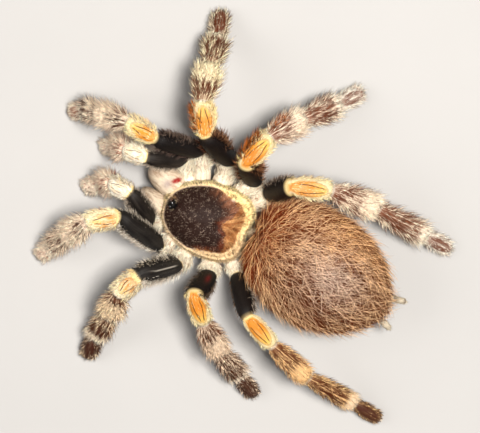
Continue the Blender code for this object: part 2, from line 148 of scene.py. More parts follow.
class Surface:
    """A closed grid of points: rows along the part, columns round it, a point at each end."""

    def __init__(self, points, stations=None):
        self.points = points
        self.rows, self.columns = points.shape[:2]
        self.stations = np.linspace(0, 1, self.rows) if stations is None else stations
        beside = np.roll(points, -1, axis=1) - np.roll(points, 1, axis=1)
        self.ahead = unit(np.gradient(points, axis=0))
        self.normal = unit(np.cross(self.ahead, beside))

    def grid(self):
        """Station along and angle round of every grid point."""
        return np.meshgrid(self.stations, turns(self.columns), indexing="ij")

    def read(self, field, row, column):
        """The field at places between the grid points: a blend of the four around each."""
        i, j = np.clip(row.astype(int), 0, self.rows - 2), column.astype(int) % self.columns
        k = (j + 1) % self.columns
        u, v = (row - i)[:, None], (column - np.floor(column))[:, None]
        return ((1 - u) * ((1 - v) * field[i, j] + v * field[i, k])
                + u * ((1 - v) * field[i + 1, j] + v * field[i + 1, k]))

    def roots(self, rng, count, weight, rectangle):
        """Random roots of hair: each cell gets its share of them by its area times its weight."""
        down = np.diff(self.points, axis=0)
        over = (np.roll(self.points, -1, axis=1) - self.points)[:-1]
        chance = np.linalg.norm(np.cross(down, over), axis=-1) * np.maximum(weight[:-1], 0)
        cell = rng.choice(chance.size, count, p=chance.ravel() / chance.sum())
        row, column = cell // self.columns + rng.random(count), cell % self.columns + rng.random(count)
        point, normal, lie = (self.read(field, row, column)
                              for field in (self.points, self.normal, self.ahead))
        left, low, width, height = rectangle
        place = np.stack([left + column / self.columns * width, low + row / (self.rows - 1) * height], -1)
        return Roots(row, column, point, unit(normal), unit(lie), place)

    def values(self, field):
        """A field given per grid point, with the means of the first and last row for the ends."""
        flat = field.reshape(self.rows * self.columns, -1)
        return np.vstack([flat, flat[:self.columns].mean(0), flat[-self.columns:].mean(0)])

    def faces(self):
        """Triangles, two to each cell and a fan at each end, and their places on the unwrap."""
        first = np.indices((self.rows - 1, self.columns)).reshape(2, -1).T
        quads = first[:, None] + ((0, 0), (1, 0), (1, 1), (0, 1))
        cells = np.concatenate([quads[:, [0, 1, 2]], quads[:, [0, 2, 3]]])
        index = cells[..., 0] * self.columns + cells[..., 1] % self.columns
        j, end = np.arange(self.columns), self.rows * self.columns
        k, base = (j + 1) % self.columns, end - self.columns
        fans = np.concatenate([np.stack([0 * j + end, j, k], -1),
                               np.stack([0 * j + end + 1, base + k, base + j], -1)])
        ends = np.stack([np.repeat((0.0, 1.0), self.columns), np.tile(j / self.columns, 2)], -1)
        return (np.concatenate([index, fans]),
                np.concatenate([cells / (self.rows - 1, self.columns), np.repeat(ends[:, None], 3, axis=1)]))


# %% [markdown]
# ## From arrays to a Blender piece
# A mesh is filled straight from arrays, which is far quicker than adding its points one
# by one. Colours that follow the markings travel with the points as an attribute, and
# the unwrap goes into a UV map.

# %% Filling a mesh
def make_piece(name, points, triangles, colour, unwrap, finish, slot, nodes=(), knee=None):
    """A mesh object from points in mm and triangles, riding on the still body."""
    mesh = bpy.data.meshes.new(name)
    mesh.vertices.add(len(points))
    mesh.vertices.foreach_set("co", ((points + MIDDLE) * MM).astype(np.float32).ravel())
    mesh.loops.add(triangles.size)
    mesh.loops.foreach_set("vertex_index", triangles.astype(np.int32).ravel())
    mesh.polygons.add(len(triangles))
    mesh.polygons.foreach_set("loop_start", np.arange(0, triangles.size, 3, dtype=np.int32))
    full = np.concatenate([np.clip(colour, 0, 1), np.ones((len(colour), 1))], axis=1)
    markings = mesh.color_attributes.new("markings", "FLOAT_COLOR", "POINT")
    markings.data.foreach_set("color", full.astype(np.float32).ravel())
    if knee is not None:
        attribute = mesh.attributes.new("knee", "FLOAT_VECTOR", "POINT")
        attribute.data.foreach_set("vector", knee.astype(np.float32).ravel())
    mesh.uv_layers.new(name="OFBake").data.foreach_set("uv", unwrap.astype(np.float32).ravel())
    mesh.update(calc_edges=True)
    mesh.validate()
    mesh.shade_smooth()
    mesh.materials.append(finish)
    piece = bpy.data.objects.new(name, mesh)
    bpy.context.scene.collection.objects.link(piece)
    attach(piece, "root")
    if nodes:
        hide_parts(*nodes)
    print(f"{name}: {len(triangles)} triangles")


def lay_piece(name, parts, places, *rest):
    """One piece from surfaces and their colours, each in its own rectangle of the unwrap."""
    arrays, first = [], 0
    for (surface, colour), (left, low, width, height) in zip(parts, places):
        faces, place = surface.faces()
        arrays.append((surface.values(surface.points), faces + first,
                       surface.values(np.broadcast_to(colour, surface.points.shape)),
                       place[..., ::-1] * (width, height) + (left, low)))
        first += len(arrays[-1][0])
    make_piece(name, *(np.concatenate(each) for each in zip(*arrays)), *rest)


# %% [markdown]
# ## Finishes
# A finish is a node tree. Writing it as Python sums keeps it readable: a small class
# wraps a socket, and adding or multiplying two of them adds the Math node.

# %% Shader maths
class Wire:
    """A number on its way through a node tree; sums on it add Math nodes."""

    def __init__(self, finish, socket):
        self.finish, self.socket = finish, socket

    def maths(self, operation, *values):
        return self.finish.node("ShaderNodeMath", {"operation": operation}, dict(enumerate(values)))

    def __add__(self, other):
        return self.maths("ADD", self, other)

    def __sub__(self, other):
        return self.maths("SUBTRACT", self, other)

    def __rsub__(self, other):
        return self.maths("SUBTRACT", other, self)

    def __mul__(self, other):
        return self.maths("MULTIPLY", self, other)

    def __abs__(self):
        return self.maths("ABSOLUTE", self)

    def root(self):
        return self.maths("SQRT", self)

    __radd__, __rmul__ = __add__, __mul__


class Finish:
    """A material with a Principled shader, wired one node at a time."""

    def __init__(self, name, **constants):
        self.material = bpy.data.materials.new(name)
        self.material.use_nodes = True
        self.tree = self.material.node_tree
        self.shader = self.tree.nodes["Principled BSDF"]
        for socket, value in constants.items():
            self.shader.inputs[socket.replace("_", " ")].default_value = value
        self.place = self.node("ShaderNodeTexCoord", output="Object")

    def node(self, kind, settings=None, inputs=None, output=0):
        """Add a node: its settings first, then the values or links of its sockets."""
        node = self.tree.nodes.new(kind)
        for key, value in (settings or {}).items():
            setattr(node, key, value)
        for key, value in (inputs or {}).items():
            if isinstance(value, Wire):
                self.tree.links.new(value.socket, node.inputs[key])
            else:
                node.inputs[key].default_value = value
        return Wire(self, node.outputs[output])

    def noise(self, size, detail=3.0):
        """Noise with lumps about `size` mm across."""
        return self.node("ShaderNodeTexNoise",
                         inputs={"Vector": self.place, "Scale": 1 / (size * MM), "Detail": detail})

    def ramp(self, value, low, high, first=0.0, last=1.0, kind="SMOOTHSTEP"):
        """first up to low, last from high on."""
        return self.node("ShaderNodeMapRange", {"interpolation_type": kind}, {
            "Value": value, "From Min": low, "From Max": high, "To Min": first, "To Max": last})

    def attribute(self, name, output):
        return self.node("ShaderNodeAttribute", {"attribute_name": name}, output=output)

    def paint(self, strength, **links):
        """The markings times a number as the base colour, and what else varies."""
        links["Base_Color"] = self.node("ShaderNodeVectorMath", {"operation": "SCALE"}, {
            0: self.attribute("markings", "Color"), "Scale": strength})
        self.set(**links)

    def set(self, **links):
        for socket, wire in links.items():
            self.tree.links.new(wire.socket, self.shader.inputs[socket.replace("_", " ")])

    def bump(self, height, distance, strength=1.0):
        self.set(Normal=self.node("ShaderNodeBump", inputs={
            "Height": height, "Distance": distance * MM, "Strength": strength}))


# %% [markdown]
# The hair is a little glossy, so single hairs catch the light. The skin under it is
# duller, with a fine bump that stands for the shortest fur. The plates are horn with
# a grain. Eyes and fangs are smooth and dark.

# %% Hair, skin, shell, horn and eye finishes
def hair_finish():
    finish = Finish("tarantula_hair", Roughness=0.42, Specular_IOR_Level=0.14)
    finish.paint(finish.noise(0.5) * 0.5 + 0.75)
    return finish.material


def skin_finish():
    """Fine fur as bump, and the bare lines of each knee: two that close in, and a faint oval.

    The knee attribute holds the share along the knee, the degrees from its top and 1 on a knee.
    """
    finish = Finish("tarantula_skin", Specular_IOR_Level=0.25)
    fuzz = finish.noise(0.16, 4.0)
    knee = finish.attribute("knee", "Vector")
    along, off_top, is_knee = (finish.node("ShaderNodeSeparateXYZ", inputs={"Vector": knee}, output=k)
                               for k in range(3))
    off_line = abs(off_top) - finish.ramp(along, 0.3, 0.85, 27.0, 10.0)
    started, ended = (finish.ramp(along, *limits, kind="LINEAR") for limits in ((0.14, 0.2), (0.82, 0.74)))
    down, over = (along - 0.44) * 2.4, off_top * (1 / 50)
    off_oval = abs((down * down + over * over).root() - 1)
    lines = (finish.ramp(abs(off_line), 2.0, 4.5, 1.0, 0.0) * started * ended
             + finish.ramp(off_oval, 0.03, 0.09, 0.4, 0.0)) * is_knee
    finish.paint((fuzz * 0.7 + 0.6) * (1 - 0.8 * lines), Roughness=0.7 - 0.3 * fuzz)
    finish.bump(fuzz - 0.8 * lines, 0.12)
    return finish.material


def shell_finish():
    finish = Finish("carapace_shell", Specular_IOR_Level=0.15)
    grain, blotch = finish.noise(0.3, 5.0), finish.noise(2.5)
    finish.paint(grain * 0.6 + blotch * 0.5 + 0.45, Roughness=0.45 + 0.35 * grain)
    finish.bump(grain, 0.1, 0.8)
    return finish.material


def horn_finish():
    finish = Finish("fang_horn", Specular_IOR_Level=0.6)
    grain = finish.noise(0.6, 2.0)
    finish.paint(grain * 0.5 + 0.75, Roughness=0.14 + 0.2 * grain)
    return finish.material


def eye_finish():
    finish = Finish("eye_glass", Specular_IOR_Level=0.8, Coat_Weight=0.8, Coat_Roughness=0.03)
    depth = finish.noise(0.25, 1.0)
    finish.paint(depth * 0.4 + 0.8, Roughness=0.06 + 0.08 * depth)
    return finish.material


HAIR, SKIN, SHELL, HORN, EYE = finishes = [make() for make in (
    hair_finish, skin_finish, shell_finish, horn_finish, eye_finish)]
print("finishes made:", [finish.name for finish in finishes])

# %% [markdown]
# ## The legs' bones of construction
# A leg has a coxa hidden at the body, then femur, patella, tibia, metatarsus and
# tarsus; a palp has no metatarsus. Neighbouring solids face each other across a thin
# cut, so the middle of two facing rims is the joint. The leg's skin is a tube through
# those joints that narrows at each of them.

# %% Joints read from the frame
LEG = ("coxa", "femur", "patella", "tibia", "metatarsus", "tarsus")
PALP = ("coxa", "femur", "patella", "tibia", "tarsus")
COXA_ROOTS = {"palp": (3.0, -5.6), "leg_1": (4.6, -3.8), "leg_2": (5.2, -0.6),
              "leg_3": (5.0, 2.8), "leg_4": (3.4, 5.6)}      # from the body's middle, left side
LIMBS = [f"{pair}_{side}" for pair in COXA_ROOTS for side in ("right", "left")]
COXA_HEIGHT = 6.8
RIM_CORNERS = 12            # corners of the rim with which a solid faces its neighbour
SOLE_HEIGHT = 1.3           # height of the middle of a foot's round end
TOE_DEPTH, TOE_INSET = 1.2, 0.15            # its farthest corners, and the skin's end inside them


def kinds_of(name):
    """The segments of a limb, from the body out."""
    return PALP if name.startswith("palp") else LEG


def corners(node):
    """The distinct corners of a frame node, in mm from the body's middle."""
    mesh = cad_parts[node].data
    flat = np.empty(len(mesh.vertices) * 3, dtype=np.float32)
    mesh.vertices.foreach_get("co", flat)
    return np.unique((flat.reshape(-1, 3) / MM - MIDDLE).round(3), axis=0)


def joint(first, second):
    """Middle of the facing rims of two neighbouring solids."""
    gaps = np.linalg.norm(first[:, None] - second[None], axis=2)
    rims = (solid[np.argsort(near)[:RIM_CORNERS]] for solid, near in
            ((first, gaps.min(axis=1)), (second, gaps.min(axis=0))))
    return 0.5 * sum(rim.mean(axis=0) for rim in rims)


def limb_joints(name):
    """Coxa root, hip, each further joint, and the tip of the foot."""
    pair, side = name.rsplit("_", 1)
    x, y = COXA_ROOTS[pair]
    solids = [corners("sternum_and_coxae")] + [corners(f"{name}_{kind}") for kind in kinds_of(name)[1:]]
    path = [np.array([x if side == "left" else -x, y, COXA_HEIGHT])]
    path += [joint(a, b) for a, b in zip(solids, solids[1:])]
    reach = np.linalg.norm(solids[-1] - path[-1], axis=1)
    toe = solids[-1][reach > reach.max() - TOE_DEPTH].mean(0)
    toe[2] = SOLE_HEIGHT
    return np.array(path + [path[-1] + unit(toe - path[-1]) * (reach.max() - TOE_INSET)])


joints = {name: limb_joints(name) for name in LIMBS}
for name, path in joints.items():
    print(name, "hip", path[1].round(1), "tip", path[-1].round(1))

# %% [markdown]
# The frame's solids reach out to the tips of the coat, so the skin lies inside them by
# the coat's depth: little on the sleek femora, much on the shaggy tibiae.

# %% The tube of a limb
SKIN_WIDTHS = {                # at the start, the middle and the end of a segment, in mm
    "coxa": (3.6, 4.7, 3.7), "femur": (3.6, 4.9, 4.2), "patella": (3.9, 4.6, 4.4),
    "tibia": (3.3, 4.8, 4.9), "metatarsus": (3.2, 4.3, 4.3), "tarsus": (3.0, 3.8, 3.0)}
PATELLA_SOLID_WIDTH = 5.4      # of a limb of girth 1
JOINT_PINCH, PINCH_LENGTH = 0.4, 0.9               # how far the skin draws in at a joint, over what length
WAIST, WAIST_SHARE, WAIST_LENGTH = 0.45, 0.62, 0.7     # depth, place and length of the crease of a coxa
SKIN_OFF_FLOOR = 0.12          # the least height of the skin of a foot
JOINT_REACH = 2.6              # how far from a joint its bend is felt
ROWS_PER_SEGMENT, LIMB_COLUMNS = 20, 56
TOE_LENGTH = 1.5               # of a foot's round end


def girth(name, path):
    """How stout the limb is: the width of its patella against that of a limb of girth 1."""
    spread = corners(f"{name}_patella") @ axes_of(unit(path[3] - path[2]))[0]
    return (spread.max() - spread.min()) / PATELLA_SOLID_WIDTH


def limb_surface(name):
    """A tube along the joints.

    Its width is start + (end - start) t + bulge sin(pi t)^0.8 in each segment, less a
    pinch of exp(-(distance / its length)^2) at each joint. Near a joint the section leans
    from its own segment's way towards the mean of the two, as a bent hose does.
    """
    path, kinds = joints[name], kinds_of(name)
    count = len(kinds)
    ways, lengths = unit(np.diff(path, axis=0)), np.linalg.norm(np.diff(path, axis=0), axis=1)
    joint_ways = np.vstack([ways[:1], unit(ways[1:] + ways[:-1]), ways[-1:]])
    stations = np.append(np.linspace(0, count, count * ROWS_PER_SEGMENT + 1)[:-1],
                         count - 0.5 / ROWS_PER_SEGMENT ** np.linspace(1, 2, 4))
    k = np.minimum(stations.astype(int), count - 1)
    t = stations - k
    to_start, to_end = t * lengths[k], lengths[k] - t * lengths[k]
    width = curve_through(np.array([SKIN_WIDTHS[kind] for kind in kinds])[k].T, t, 0.8)
    waist = WAIST * bell((to_start - WAIST_SHARE * lengths[k]) / WAIST_LENGTH) * (k == 0)
    pinch = bell(to_start / PINCH_LENGTH) * (k > 0) + bell(to_end / PINCH_LENGTH) * (k < count - 1)
    radius = 0.5 * width * girth(name, path) - JOINT_PINCH * pinch - waist
    toe = np.clip(1 - to_end / TOE_LENGTH, 0, 1) * (k == count - 1)
    radius = radius * np.sqrt(np.maximum(1 - toe ** 2, 0.0)) + 0.02
    lean_start, lean_end = (np.clip(1 - run / JOINT_REACH, 0, 1)[:, None] for run in (to_start, to_end))
    way = unit(ways[k] + (joint_ways[k] - ways[k]) * lean_start + (joint_ways[k + 1] - ways[k]) * lean_end)
    points = rings(path[k] + ways[k] * to_start[:, None], *axes_of(way), radius, radius, LIMB_COLUMNS)
    points[..., 2] = np.maximum(points[..., 2], SKIN_OFF_FLOOR)
    return Surface(points, stations)


limb_skins = {name: limb_surface(name) for name in LIMBS}
print("limb tubes:", len(limb_skins), "of", limb_skins["leg_1_left"].points.shape)

# %% [markdown]
# ## The trunk
# The abdomen is a blunt egg that tapers behind and turns a little to the left. The
# sternum with the flesh under the carapace is a flat ball, and the pedicel is the
# thin stalk that joins them. Stretched balls would do for all of them, but the power
# of the oval can change along a part, which makes the abdomen blunt only in front.

# %% Abdomen, thorax and pedicel
ABDOMEN_COAT = 1.0                  # depth of the coat over the skin
ABDOMEN_FRONT, ABDOMEN_LENGTH = 10.4, 36.8
ABDOMEN_HALF_WIDTH, ABDOMEN_HALF_HEIGHT, ABDOMEN_HEIGHT = 13.9, 11.2, 13.2
ABDOMEN_YAW, ABDOMEN_OFF_MIDDLE = np.radians(5), -0.4
FRONT_BLUNTNESS, REAR_BLUNTNESS = 2.5, 1.8
FOLD_DEPTH, FOLD_LENGTH = 0.12, 7.0         # soft uneven places of the abdomen
THORAX_HALF_WIDTH, THORAX_HALF_LENGTH, THORAX_MIDDLE, THORAX_HEIGHT = 6.3, 8.4, 0.2, 7.0
THORAX_RISE, THORAX_DEPTH = 2.3, 3.2        # above and below its middle
PEDICEL_ENDS = (-0.4, 6.4, 7.2), (-1.7, 14.0, 9.4)
PEDICEL_HALF, PEDICEL_WAIST = 1.5, 0.35


def ball_grid(rows, columns):
    """Shares -1 to 1 along a ball, close together at its ends, and angles round it."""
    t = np.sin(np.linspace(-0.5, 0.5, rows + 2)[1:-1] * np.pi)
    return t[:, None], turns(columns)[None], t


def abdomen_surface():
    """Width and height (1 - |t|^p)^(1/p), with one power in front and another behind."""
    t, turn, stations = ball_grid(110, 120)
    power = np.where(t < 0, FRONT_BLUNTNESS, REAR_BLUNTNESS)
    round_off = (1 - np.abs(t) ** power) ** (1 / power)
    half_length = 0.5 * ABDOMEN_LENGTH - ABDOMEN_COAT
    width = (ABDOMEN_HALF_WIDTH - ABDOMEN_COAT) * round_off
    height = (ABDOMEN_HALF_HEIGHT - ABDOMEN_COAT) * round_off * (1 - 0.06 * t)
    axis = ABDOMEN_HEIGHT - 1.6 * smooth(0, 1, t) - 1.4 * smooth(0.3, 1, -t)
    middle = ABDOMEN_OFF_MIDDLE + half_length * t * np.tan(ABDOMEN_YAW)
    points = np.stack([middle + width * np.cos(turn),
                       ABDOMEN_FRONT + 0.5 * ABDOMEN_LENGTH + half_length * t + 0 * turn,
                       axis + height * np.sin(turn)], -1)
    folds = FOLD_DEPTH * ripple(points, FOLD_LENGTH, 3)
    return Surface(points + folds[..., None] * unit(points - points.mean(1, keepdims=True)), stations)


def thorax_surface():
    """A flat ball, deeper below its middle than above."""
    t, turn, stations = ball_grid(40, 64)
    round_off = np.sqrt(1 - t ** 2)
    depth = np.where(np.sin(turn) > 0, THORAX_RISE, THORAX_DEPTH)
    points = np.stack([THORAX_HALF_WIDTH * round_off * np.cos(turn),
                       THORAX_MIDDLE + THORAX_HALF_LENGTH * t + 0 * turn,
                       THORAX_HEIGHT + depth * round_off * np.sin(turn)], -1)
    return Surface(points, stations)


def tube(centres, half):
    """A round tube of 24 columns along a line of centres."""
    return Surface(rings(centres, *axes_of(unit(np.gradient(centres, axis=0))), half, half, 24))


def pedicel_surface():
    """A short stalk between thorax and abdomen, a little waisted."""
    t = np.linspace(0, 1, 14)
    centres = np.outer(1 - t, PEDICEL_ENDS[0]) + np.outer(t, PEDICEL_ENDS[1])
    return tube(centres, PEDICEL_HALF - PEDICEL_WAIST * np.sin(np.pi * t))


abdomen_skin, thorax_skin, pedicel_skin = abdomen_surface(), thorax_surface(), pedicel_surface()
print("trunk grids:", abdomen_skin.points.shape, thorax_skin.points.shape, pedicel_skin.points.shape)

# %% [markdown]
# ## Markings
# Skin and hair take their colours from the same rules. At each place a rule gives a
# dark colour, a light one and the share of light. The skin blends the two; each hair
# is mostly one or the other, which gives the streaks of a real coat.

# %% Colours of the animal
BLACK, COAL, UMBER, RUST = tint(15, 8, 8), tint(46, 32, 28), tint(56, 26, 11), tint(140, 70, 30)
GREY, CREAM, WHITE, ROSE = tint(190, 174, 156), tint(255, 232, 180), tint(255, 246, 230), tint(166, 108, 80)
RED, FLAME, ORANGE = tint(158, 18, 14), tint(212, 92, 20), tint(236, 150, 46)
YOLK, STRAW = tint(248, 196, 96), tint(255, 224, 156)

Tone = namedtuple("Tone", "dark light extra fringe stripe pale flame glint saddle knee")
LIMB_TONES = {   # dark and light hair, how much more is light, hair round the femur, its bare stripes (painted white as highlights), paleness and flame of the knee, the painted highlight streak on the foot, where along the tibia its light end begins, and where along the patella the knee begins
                 # stripes, paleness and flame of the knee, the white streak on the foot, where
                 # along the tibia its light end begins, and where along the patella the knee begins
    "palp_right": ((140, 68, 38), (255, 228, 202), 0.6, (190, 174, 156), 0.06, 0.84, 0.0, 0.2, 0.5, 0.1),
    "palp_left": ((144, 70, 40), (255, 228, 202), 0.64, (190, 174, 156), 0.06, 0.88, 0.0, 0.2, 0.5, 0.15),
    "leg_1_right": ((84, 46, 26), (255, 228, 200), 0.45, (118, 98, 90), 0.05, 0.2, 0.0, 0.2, 0.5, 0.13),
    "leg_1_left": ((96, 54, 30), (255, 228, 200), 0.56, (196, 184, 166), 0.08, 0.5, 0.1, 0.2, 0.4, 0.18),
    "leg_2_right": ((104, 50, 22), (255, 234, 194), 0.18, (96, 60, 42), 0.04, 0.2, 0.2, 0.25, 0.36, 0.1),
    "leg_2_left": ((90, 48, 26), (250, 220, 182), 0.12, (220, 210, 192), 0.7, 0.5, 0.1, 0.0, 0.2, 0.22),
    "leg_3_right": ((116, 62, 38), (255, 230, 204), 0.24, (140, 92, 62), 0.04, 0.12, 0.4, 0.75, 0.46, 0.0),
    "leg_3_left": ((88, 48, 24), (240, 212, 182), 0.22, (118, 100, 82), 0.04, 0.1, 0.25, 0.0, 0.36, 0.0),
    "leg_4_right": ((114, 62, 38), (255, 230, 202), 0.14, (120, 88, 68), 0.04, 0.28, 0.2, 0.7, 0.5, 0.0),
    "leg_4_left": ((94, 44, 14), (253, 204, 144), 0.17, (110, 82, 58), 0.04, 0.08, 0.3, 0.0, 0.5, 0.08)}
LIMB_TONES = {name: Tone(*(tint(*value) if isinstance(value, tuple) else value for value in row))
              for name, row in LIMB_TONES.items()}
print("limbs with tones of their own:", len(LIMB_TONES))

# %% Markings of the limbs
FUR_STREAK = 0.55       # width of a lengthwise streak of the legs' coat, in mm
STREAK_STRENGTH = ((0, 1, 1.1, 2, 2.2, 2.9, 3.1, 5, 5.1),                   # at these stations
                   (0.25, 0.25, 0.04, 0.04, 0.2, 0.2, 0.6, 0.6, 0.2))


def is_pale(name):
    """Whether a limb is one of the four pale and fluffy ones in front."""
    return LIMB_TONES[name].extra > 0.3


def streaks(station, angle, seed):
    """Lengthwise streaks from -1 to 1: ripples much longer along the limb than round it."""
    flat = np.stack([2.2 * np.cos(angle), 2.2 * np.sin(angle), 1.1 * station], -1)
    return ripple(flat, FUR_STREAK, seed)


def at_side(angle):
    """1 at the two sides of a limb, 0 on its top and below."""
    return smooth(0.55, 0.95, np.abs(np.cos(angle)))


def underneath(angle, full=0.8):
    """0 on the upper half of a part, 1 where its depth below the axis is the share `full`."""
    return smooth(0.0, -full, np.sin(angle))


def coxa_colours(t, angle, tone):
    """Golden and cream, with painted shade in the crease past its middle and at its end."""
    under = underneath(angle)
    # painted shade: umber in the crease at the waist and where the coxa ends
    crease = 0.35 * bell((t - 0.62) / 0.05) + 0.7 * smooth(0.95, 1.0, t)
    dark = mix(mix(tint(200, 134, 88), tone.fringe, 0.3), UMBER, np.clip(under + crease, 0, 1))
    return dark, mix(CREAM, WHITE, 0.7), 0.85 - 0.3 * under - 0.4 * crease


def femur_colours(t, angle, tone):
    """Black velvet with a bright and a faint bare stripe on top whose white is painted highlight, a few light
    hairs as painted glints, and a straw ring at each end.
    """
    ring = np.maximum(smooth(0.9, 0.96, t), smooth(0.04, 0.01, t))
    under = underneath(angle, 0.7)
    # the bare stripes are mixed towards white: painted highlight along the glossy bare skin
    stripe = tone.stripe * femur_stripes(t, angle)
    light = mix(mix(tone.fringe, WHITE, stripe), STRAW, ring)
    # 0.05 of light hairs everywhere: white specks that are painted glints on the velvet
    return BLACK, light, np.maximum(np.maximum(ring, 0.05 + 0.25 * under), 0.9 * stripe)


def femur_stripes(t, angle):
    """The bright stripe 8 degrees before the top and the faint one 16 degrees past it: bare lines, painted
    white as highlights.
    """
    off = np.degrees(angle) - 90
    pair = smooth(5.0, 1.0, np.abs(off + 8)) + 0.35 * smooth(5.0, 1.0, np.abs(off - 16))
    return pair * between((0.15, 0.35), (0.65, 0.85), t)


def patella_colours(t, angle, tone):
    """A smooth oval of orange on top, its far end and its border cream."""
    oval = np.hypot((t - 0.36) / 0.56, np.cos(angle) / 0.96)
    border = np.where(np.sin(angle) > -0.1, smooth(0.74, 1.05, oval), smooth(0.7, 0.95, t))
    flame = tone.flame * smooth(0.9, 0.2, np.hypot((t - 0.3) / 0.5, np.cos(angle) / 0.8))
    dark = mix(mix(ORANGE, YOLK, smooth(0.35, 0.85, t)), FLAME, flame)
    under = underneath(angle, 0.5)
    light = mix(CREAM, WHITE, tone.pale ** 2)
    return mix(dark, RUST, 0.7 * under), light, np.clip(border + tone.pale, 0, 1) * (1 - 0.6 * under)


def bare_lines(t, angle):
    """1 on the two bare lines along the top of a knee, which close in from 27 to 10 degrees off it."""
    off = np.abs(np.abs(np.degrees(angle) - 90) - (27 - 17 * smooth(0.3, 0.85, t)))
    return smooth(5.0, 3.0, off) * between((0.14, 0.2), (0.72, 0.8), t)


def tibia_colours(t, angle, tone):
    """Streaked at its start, with a sleek light saddle on top of its end."""
    side = at_side(angle)
    saddle = smooth(tone.saddle - 0.04, tone.saddle + 0.24, t - 0.12 * side)
    share = 0.12 + tone.extra + 0.3 * side + saddle * (1.1 - 0.4 * side - 0.35 * (tone.glint == 0))
    return mix(tone.dark, ROSE, 0.3 * side), tone.light, share * (1 - 0.5 * underneath(angle))


def metatarsus_colours(t, angle, tone):
    """Streaked, with a pale ring at its end."""
    ring = smooth(0.72, 0.86, t)
    share = 0.07 + tone.extra + 0.22 * at_side(angle) + ring
    light = mix(tone.light, WHITE, 0.4 * ring)
    return mix(tone.dark, ROSE, 0.3 * tone.glint), light, share * (1 - 0.4 * underneath(angle))


def tarsus_colours(t, angle, tone):
    """A dark oval on top with a painted highlight streak in it, and a pale border."""
    oval = np.hypot((t - 0.42) / 0.46, np.cos(angle) / 0.72)
    # painted highlight: a white streak along the top of the foot, as strong as the leg's glint
    streak = 0.8 * tone.glint * bell((np.degrees(angle) - 92) / 6) * between((0.2, 0.35), (0.6, 0.85), t)
    share = 0.02 + 0.28 * tone.glint + 1.8 * max(tone.extra - 0.2, 0)
    share = share + (0.24 + 0.4 * tone.glint) * smooth(0.85, 1.15, oval) + streak
    dark = mix(mix(tone.dark, UMBER, 0.6 * (tone.glint < 0.1)), ROSE, 0.75 * (tone.extra > 0.3))
    return dark, mix(tone.light, WHITE, tone.glint), share


SEGMENT_COLOURS = {"coxa": coxa_colours, "femur": femur_colours, "patella": patella_colours,
                   "tibia": tibia_colours, "metatarsus": metatarsus_colours, "tarsus": tarsus_colours}


def marked_station(name, station):
    """The station that sets the markings: they begin late on some knees, and end early on one leg."""
    early = 0.12 if name == "leg_2_left" else 0
    seen = (0, 1.5, 2 + LIMB_TONES[name].knee, 3 - early, 5 - early, 7)
    return np.interp(station, seen, (0, 1.5, 2, 3, 5, 7))


def segment_of(name, station):
    """The number of the segment at each station."""
    return np.minimum(station.astype(int), len(kinds_of(name)) - 1)


def limb_markings(name, station, angle):
    """Dark colour, light colour and share of light at each place of a limb."""
    station = marked_station(name, station)
    dark, light, share = np.zeros(station.shape + (3,)), np.zeros(station.shape + (3,)), 0 * station
    for k, kind in enumerate(kinds_of(name)):
        here = segment_of(name, station) == k
        rule = SEGMENT_COLOURS[kind](station[here] - k, angle[here], LIMB_TONES[name])
        dark[here], light[here], share[here] = rule
    if name == "leg_3_left":
        spot = bell((station - 1.5) / 0.13, (np.degrees(angle) - 82) / 13)
        dark = mix(dark, tint(104, 14, 20), spot)
    joint_skin = smooth(0.04, 0.015, np.abs(station - np.round(station))) * (station > 2.5)
    strength = np.interp(station, *STREAK_STRENGTH) * smooth(2.2, 0.6, share) * (1.5 if is_pale(name) else 1)
    share = share + strength * streaks(station, angle, len(name) + ord(name[4])) + 0.8 * joint_skin
    return dark, mix(light, WHITE, 0.6 * joint_skin), np.clip(share, 0, 1)


print("segments with rules of their own:", len(SEGMENT_COLOURS))


# %% Markings of the abdomen and the thorax
def abdomen_markings(points):
    """Russet brown with gold, greyer along the back's middle and rear, redder in front."""
    x, y, z = np.moveaxis(points, -1, 0)
    patch, spot = ripple(points, 9.0, 11), ripple(points, 2.2, 12)
    grey = bell((x + 1.0) / 7, (y - 29.0) / 9.0) * smooth(15, 21, z)
    front, right = smooth(19.0, 11.5, y), smooth(-2.0, -10.0, x) * smooth(18, 28, y)
    left, glow = smooth(1.0, 8.0, x) * smooth(16, 24, y), bell((x + 4) / 4.5, (y - 15) / 5)
    dark = mix(mix(tint(116, 50, 16), tint(122, 68, 44), grey), tint(142, 56, 22), 0.9 * front)
    dark = mix(dark, tint(78, 34, 10), np.clip(0.3 * patch + 0.5 * spot + 0.2, 0, 0.7) * (1 - 0.5 * grey))
    light = mix(tint(252, 200, 144), tint(252, 220, 196), grey)
    light = mix(light, tint(246, 180, 106), np.maximum(0.5 * right, 0.6 * front))
    below = smooth(13.0, 6.0, z)
    # fewer light hairs on the front of the left flank: partly a darker coat, partly painted shade on the side
    # away from the light
    share = 0.15 + 0.12 * patch + 0.15 * spot + 0.14 * grey + 0.08 * right - 0.22 * left
    share = share + 0.15 * glow - 0.1 * front
    return mix(dark, UMBER, 0.7 * below), mix(light, RUST, 0.5 * below), np.clip(share, 0, 1)


PLATE_HALF_WIDTH, PLATE_FRONT, PLATE_REAR = 8.95, 11.2, 10.7
PLATE_SHIFT = 0.3           # its middle from the body's, to the left


def plate_edge(turn):
    """Distance to the rim: a power oval, blunter behind, narrower in front, notched at the rear."""
    ahead = np.sin(turn) < 0
    power, reach = np.where(ahead, 2.2, 3.1), np.where(ahead, PLATE_FRONT, PLATE_REAR)
    width = PLATE_HALF_WIDTH * (1 - 0.12 * smooth(0, 1, -np.sin(turn)))
    edge = (np.abs(np.cos(turn) / width) ** power + np.abs(np.sin(turn) / reach) ** power) ** (-1 / power)
    return edge - np.where(ahead, 0, bell(np.cos(turn) / 0.28))


